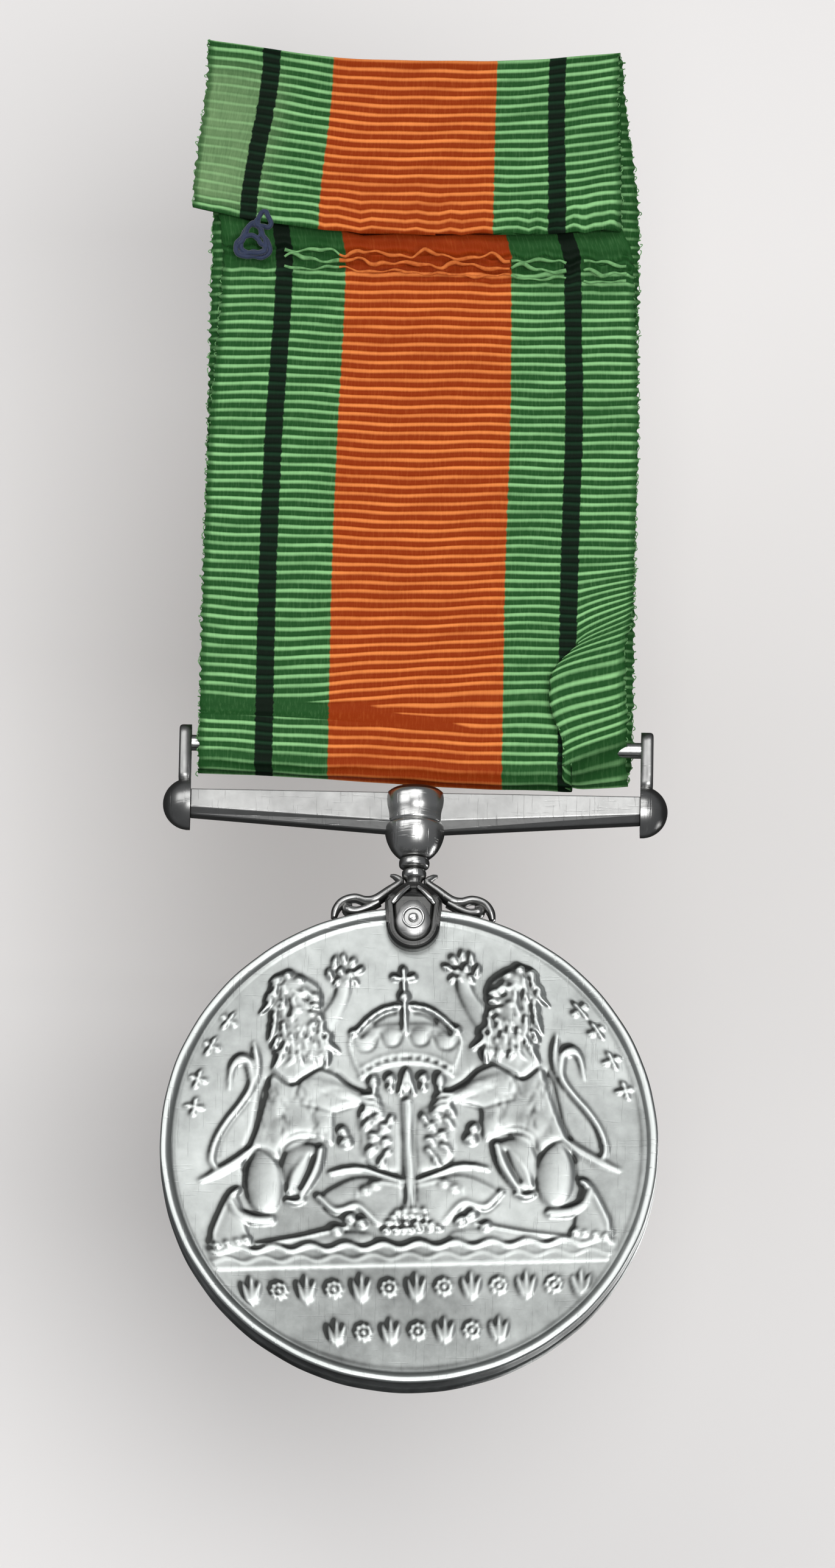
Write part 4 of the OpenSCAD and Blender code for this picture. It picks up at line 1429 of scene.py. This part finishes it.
def makeTube(name, lines, sides=10, flatten=1.0):
    # Round wires along smooth lines of (x, y, z, radius), flattened from front to back.
    curve = bpy.data.curves.new(name, "CURVE")
    curve.dimensions = "3D"
    curve.bevel_depth = 1
    curve.bevel_resolution = max(0, sides // 2 - 1)
    curve.use_fill_caps = True
    for line in lines:
        points = smoothPath(line, 6)
        spline = curve.splines.new("POLY")
        spline.points.add(len(points) - 1)
        for spot, (x, y, z, radius) in zip(spline.points, points):
            spot.co = (x * mm, y * mm, z * mm, 1)
            spot.radius = radius * mm
    holder = bpy.data.objects.new(name, curve)
    mesh = bpy.data.meshes.new_from_object(holder)
    bpy.data.objects.remove(holder)
    bpy.data.curves.remove(curve)
    bm = bmesh.new()
    bm.from_mesh(mesh)
    bpy.data.meshes.remove(mesh)
    bmesh.ops.remove_doubles(bm, verts=bm.verts, dist=1e-8)
    for vert in bm.verts:
        vert.co.y *= flatten
    bmesh.ops.recalc_face_normals(bm, faces=bm.faces)
    return meshFrom(bm, name)


scrollLook = {
    "arm": ((1.72, 0, -64.62, 0.1), (1.35, 0, -64.75, 0.22), (0.98, 0, -65.15, 0.3),
            (1.8, 0, -65.85, 0.38), (2.75, 0, -66.55, 0.42), (3.5, 0, -66.62, 0.36),
            (4.3, 0, -66.42, 0.33), (5.15, 0, -66.7, 0.33), (5.62, 0, -67.35, 0.32),
            (5.78, 0, -68.0, 0.22)),
    "curl": ((2.5, 0, -66.7, 0.34), (3.3, 0, -67.15, 0.33), (4.1, 0, -67.45, 0.36),
             (4.75, 0, -67.4, 0.42), (4.85, 0, -67.05, 0.3), (4.45, 0, -66.98, 0.14)),
    "flatten": 1.7,
}


def dress(node, material):
    # Gives a CAD node that keeps its own shape its finish.
    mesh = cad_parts[node].data
    mesh.materials.clear()
    mesh.materials.append(material)


def silverParts():
    worn, turned, tarnishedAndShaded, bright, boss = (
        silverPaint(silverLook, name) for name in ("wornSilver", "turnedSilver", "tarnishedShadedSilver",
                                                   "brightSilver", "bossSilver"))
    for name, profile, node in (("stem_cap_turned", capProfile(stemLook), "stem_cap"),
                                ("stem_turned", stemProfile(stemLook), "stem")):
        mesh = markHollows(makeSpun(name, profile), 3.0)
        # The cap's top is painted darker, as painted shade.
        for vert, tone in zip(mesh.vertices, mesh.attributes["tone"].data):
            if vert.co.z > (stemLook["topZ"] - 0.4) * mm:
                tone.value = stemLook["topPaintedShade"]
        addPiece(name, mesh, "medal", turned, (node,))
    addPiece("suspender_bar_polished", makeBar(barLook), "medal", worn,
             ("suspender_bar",), smooth=False)
    for side in ("left", "right"):
        node = "end_post_" + side
        addPiece(node + "_polished", makePost(postLook, node), "medal", worn,
                 (node,))
        flip = -1 if side == "left" else 1
        lines = [[(flip * p[0], *p[1:]) for p in scrollLook[key]] for key in ("arm", "curl")]
        scroll = makeTube("scroll_%s_wire" % side, lines, sides=12,
                          flatten=scrollLook["flatten"])
        addPiece(scroll.name, scroll, "medal", worn, ("scroll_" + side,))
        dress("end_ball_" + side, turned)
    # The claw is painted a near-black silver: partly tarnish, partly painted shade on its rounded
    # frame.
    addPiece("claw_forged", markHollows(makeClaw(clawLook)), "medal",
             tarnishedAndShaded, ("claw",), smooth=False)
    addPiece("claw_boss", makeBoss(bossLook), "medal", boss, ("claw",))
    addPiece("claw_ribs", makeRibs(ribLook), "medal", bright, ("claw",))
    addPiece("claw_rivet_peened", makeRivet(rivetLook), "medal", bright,
             ("claw_rivet",))
    dress("ribbon_rod", bright)


silverParts()
print("suspender: cap, stem, bar, posts, scrolls, claw and rivet are made")

threadLook = {
    "radius": 0.19,
    "y": -0.6,
    "turns": ((-12.0, -13.9, 0.5, 0.6), (-12.75, -15.75, 1.15, 1.25),
              (-12.7, -15.5, 0.85, 1.15), (-12.9, -16.0, 1.0, 0.7)),
    "tail": ((-12.3, 0.35, -13.2, 0.12), (-12.35, -0.12, -14.3, 0.13), (-12.1, -0.15, -14.9, 0.13),
             (-12.5, -0.1, -15.4, 0.12)),
    "pull": 0.22,
}


def threadPaint():
    paint = Paint("navyThread", Roughness=0.7, Sheen_Weight=0.3)
    where = paint.place()
    fluff = paint.noise(where, 2600.0, 3.0, 0.7)
    paint.surface(Base_Color=paint.mix(fluff, (0.004, 0.009, 0.03), (0.018, 0.036, 0.1)),
                  Normal=paint.bump(fluff, 0.6, 0.00005))
    return paint.material


def makeKnot(look):
    # Loops of thread drawn into rounded triangles, their ends tucked under the flap.
    lines = []
    for turn, (x, z, wide, tall) in enumerate(look["turns"]):
        line = []
        for i in range(13):
            a = math.radians(100 + 30 * i + 25 * turn)
            pull = 1 + look["pull"] * math.cos(3 * a - 4.7)
            line.append((x + wide * pull * math.cos(a), look["y"] - 0.05 * turn
                         - 0.12 * math.sin(2 * a + turn), z + tall * pull * math.sin(a),
                         look["radius"]))
        lines.append(line)
    lines.append([(x, look["y"] + y, z, radius) for x, y, z, radius in look["tail"]])
    return makeTube("thread_knot_tied", lines, sides=8)


navyThread = threadPaint()
addPiece("thread_knot_tied", makeKnot(threadLook), "ribbon_drop", navyThread,
         ("thread_knot",))
dress("seam_stitches", navyThread)

# Each cord: its Z, radius, sway and phase.
yarnLook = {
    "cords": ((-16.35, 0.15, 0.3, 1.0), (-17.05, 0.17, 0.24, 3.4), (-17.75, 0.12, 0.16, 5.1)),
    "reach": 15.2,
    "step": 0.45,
    "fuzzRadius": 0.035,
    "fuzzReach": 0.16,
}


def yarnPaint(name, dark, light):
    paint = Paint(name, Roughness=0.75, Specular_IOR_Level=0.12)
    fluff = paint.noise(paint.place(), 1800.0, 2.0, 0.7)
    paint.surface(Base_Color=paint.mix(fluff, dark, light))
    return paint.material


def makeYarns(look, spans):
    # Thick weft cords that have come loose where the flap is sewn down, in each stripe.
    lines = []
    for low, high in spans:
        for z, radius, sway, turn in look["cords"]:
            line = []
            for x in np.arange(low, high, look["step"]):
                wave = (math.sin(1.5 * x + turn) + 0.6 * math.sin(3.7 * x + 2 * turn)) * sway
                lift = 0.5 + 0.5 * math.sin(1.1 * x + 1.7 * turn)
                line.append((x, -0.22 - 0.3 * lift, z - 0.03 * x + wave * (0.35 + 0.65 * lift),
                             radius * (0.8 + 0.25 * math.sin(2.3 * x + turn))))
            lines.append(line)
    return lines


def makeFuzz(look, draws, points):
    # Short weft loops that stand out from the selvedges.
    lines = []
    for x, y, z in points:
        out = math.copysign(draws.uniform(0.15, 1) * look["fuzzReach"], x)
        drop = draws.uniform(-0.5, 0.5)
        r = look["fuzzRadius"]
        lines.append([(x - 0.3 * out, y, z, r), (x + 0.8 * out, y - 0.1, z + 0.4 * drop, r),
                      (x + out, y - 0.05, z + 0.8 * drop, r), (x, y + 0.05, z + drop, r)])
    return lines


half, reach = ribbonColours["orangeHalf"], yarnLook["reach"]
blackFrom, blackTo = ribbonColours["blackFrom"], ribbonColours["blackTo"]
spans = {"orange": ((-half, half),),
         "green": ((half, blackFrom), (blackTo, reach), (-blackFrom, -half))}
for colour in ("orange", "green"):
    strands = makeYarns(yarnLook, spans[colour])
    if colour == "green":
        strands += makeFuzz(yarnLook, random.Random(11), selvedges)
    yarns = makeTube("loose_%s_yarns" % colour, strands, sides=6)
    addPiece(yarns.name, yarns, "ribbon_drop",
             yarnPaint(colour + "Yarn", *ribbonColours[colour]))
print("thread: knot, stitches and loose yarns are made")
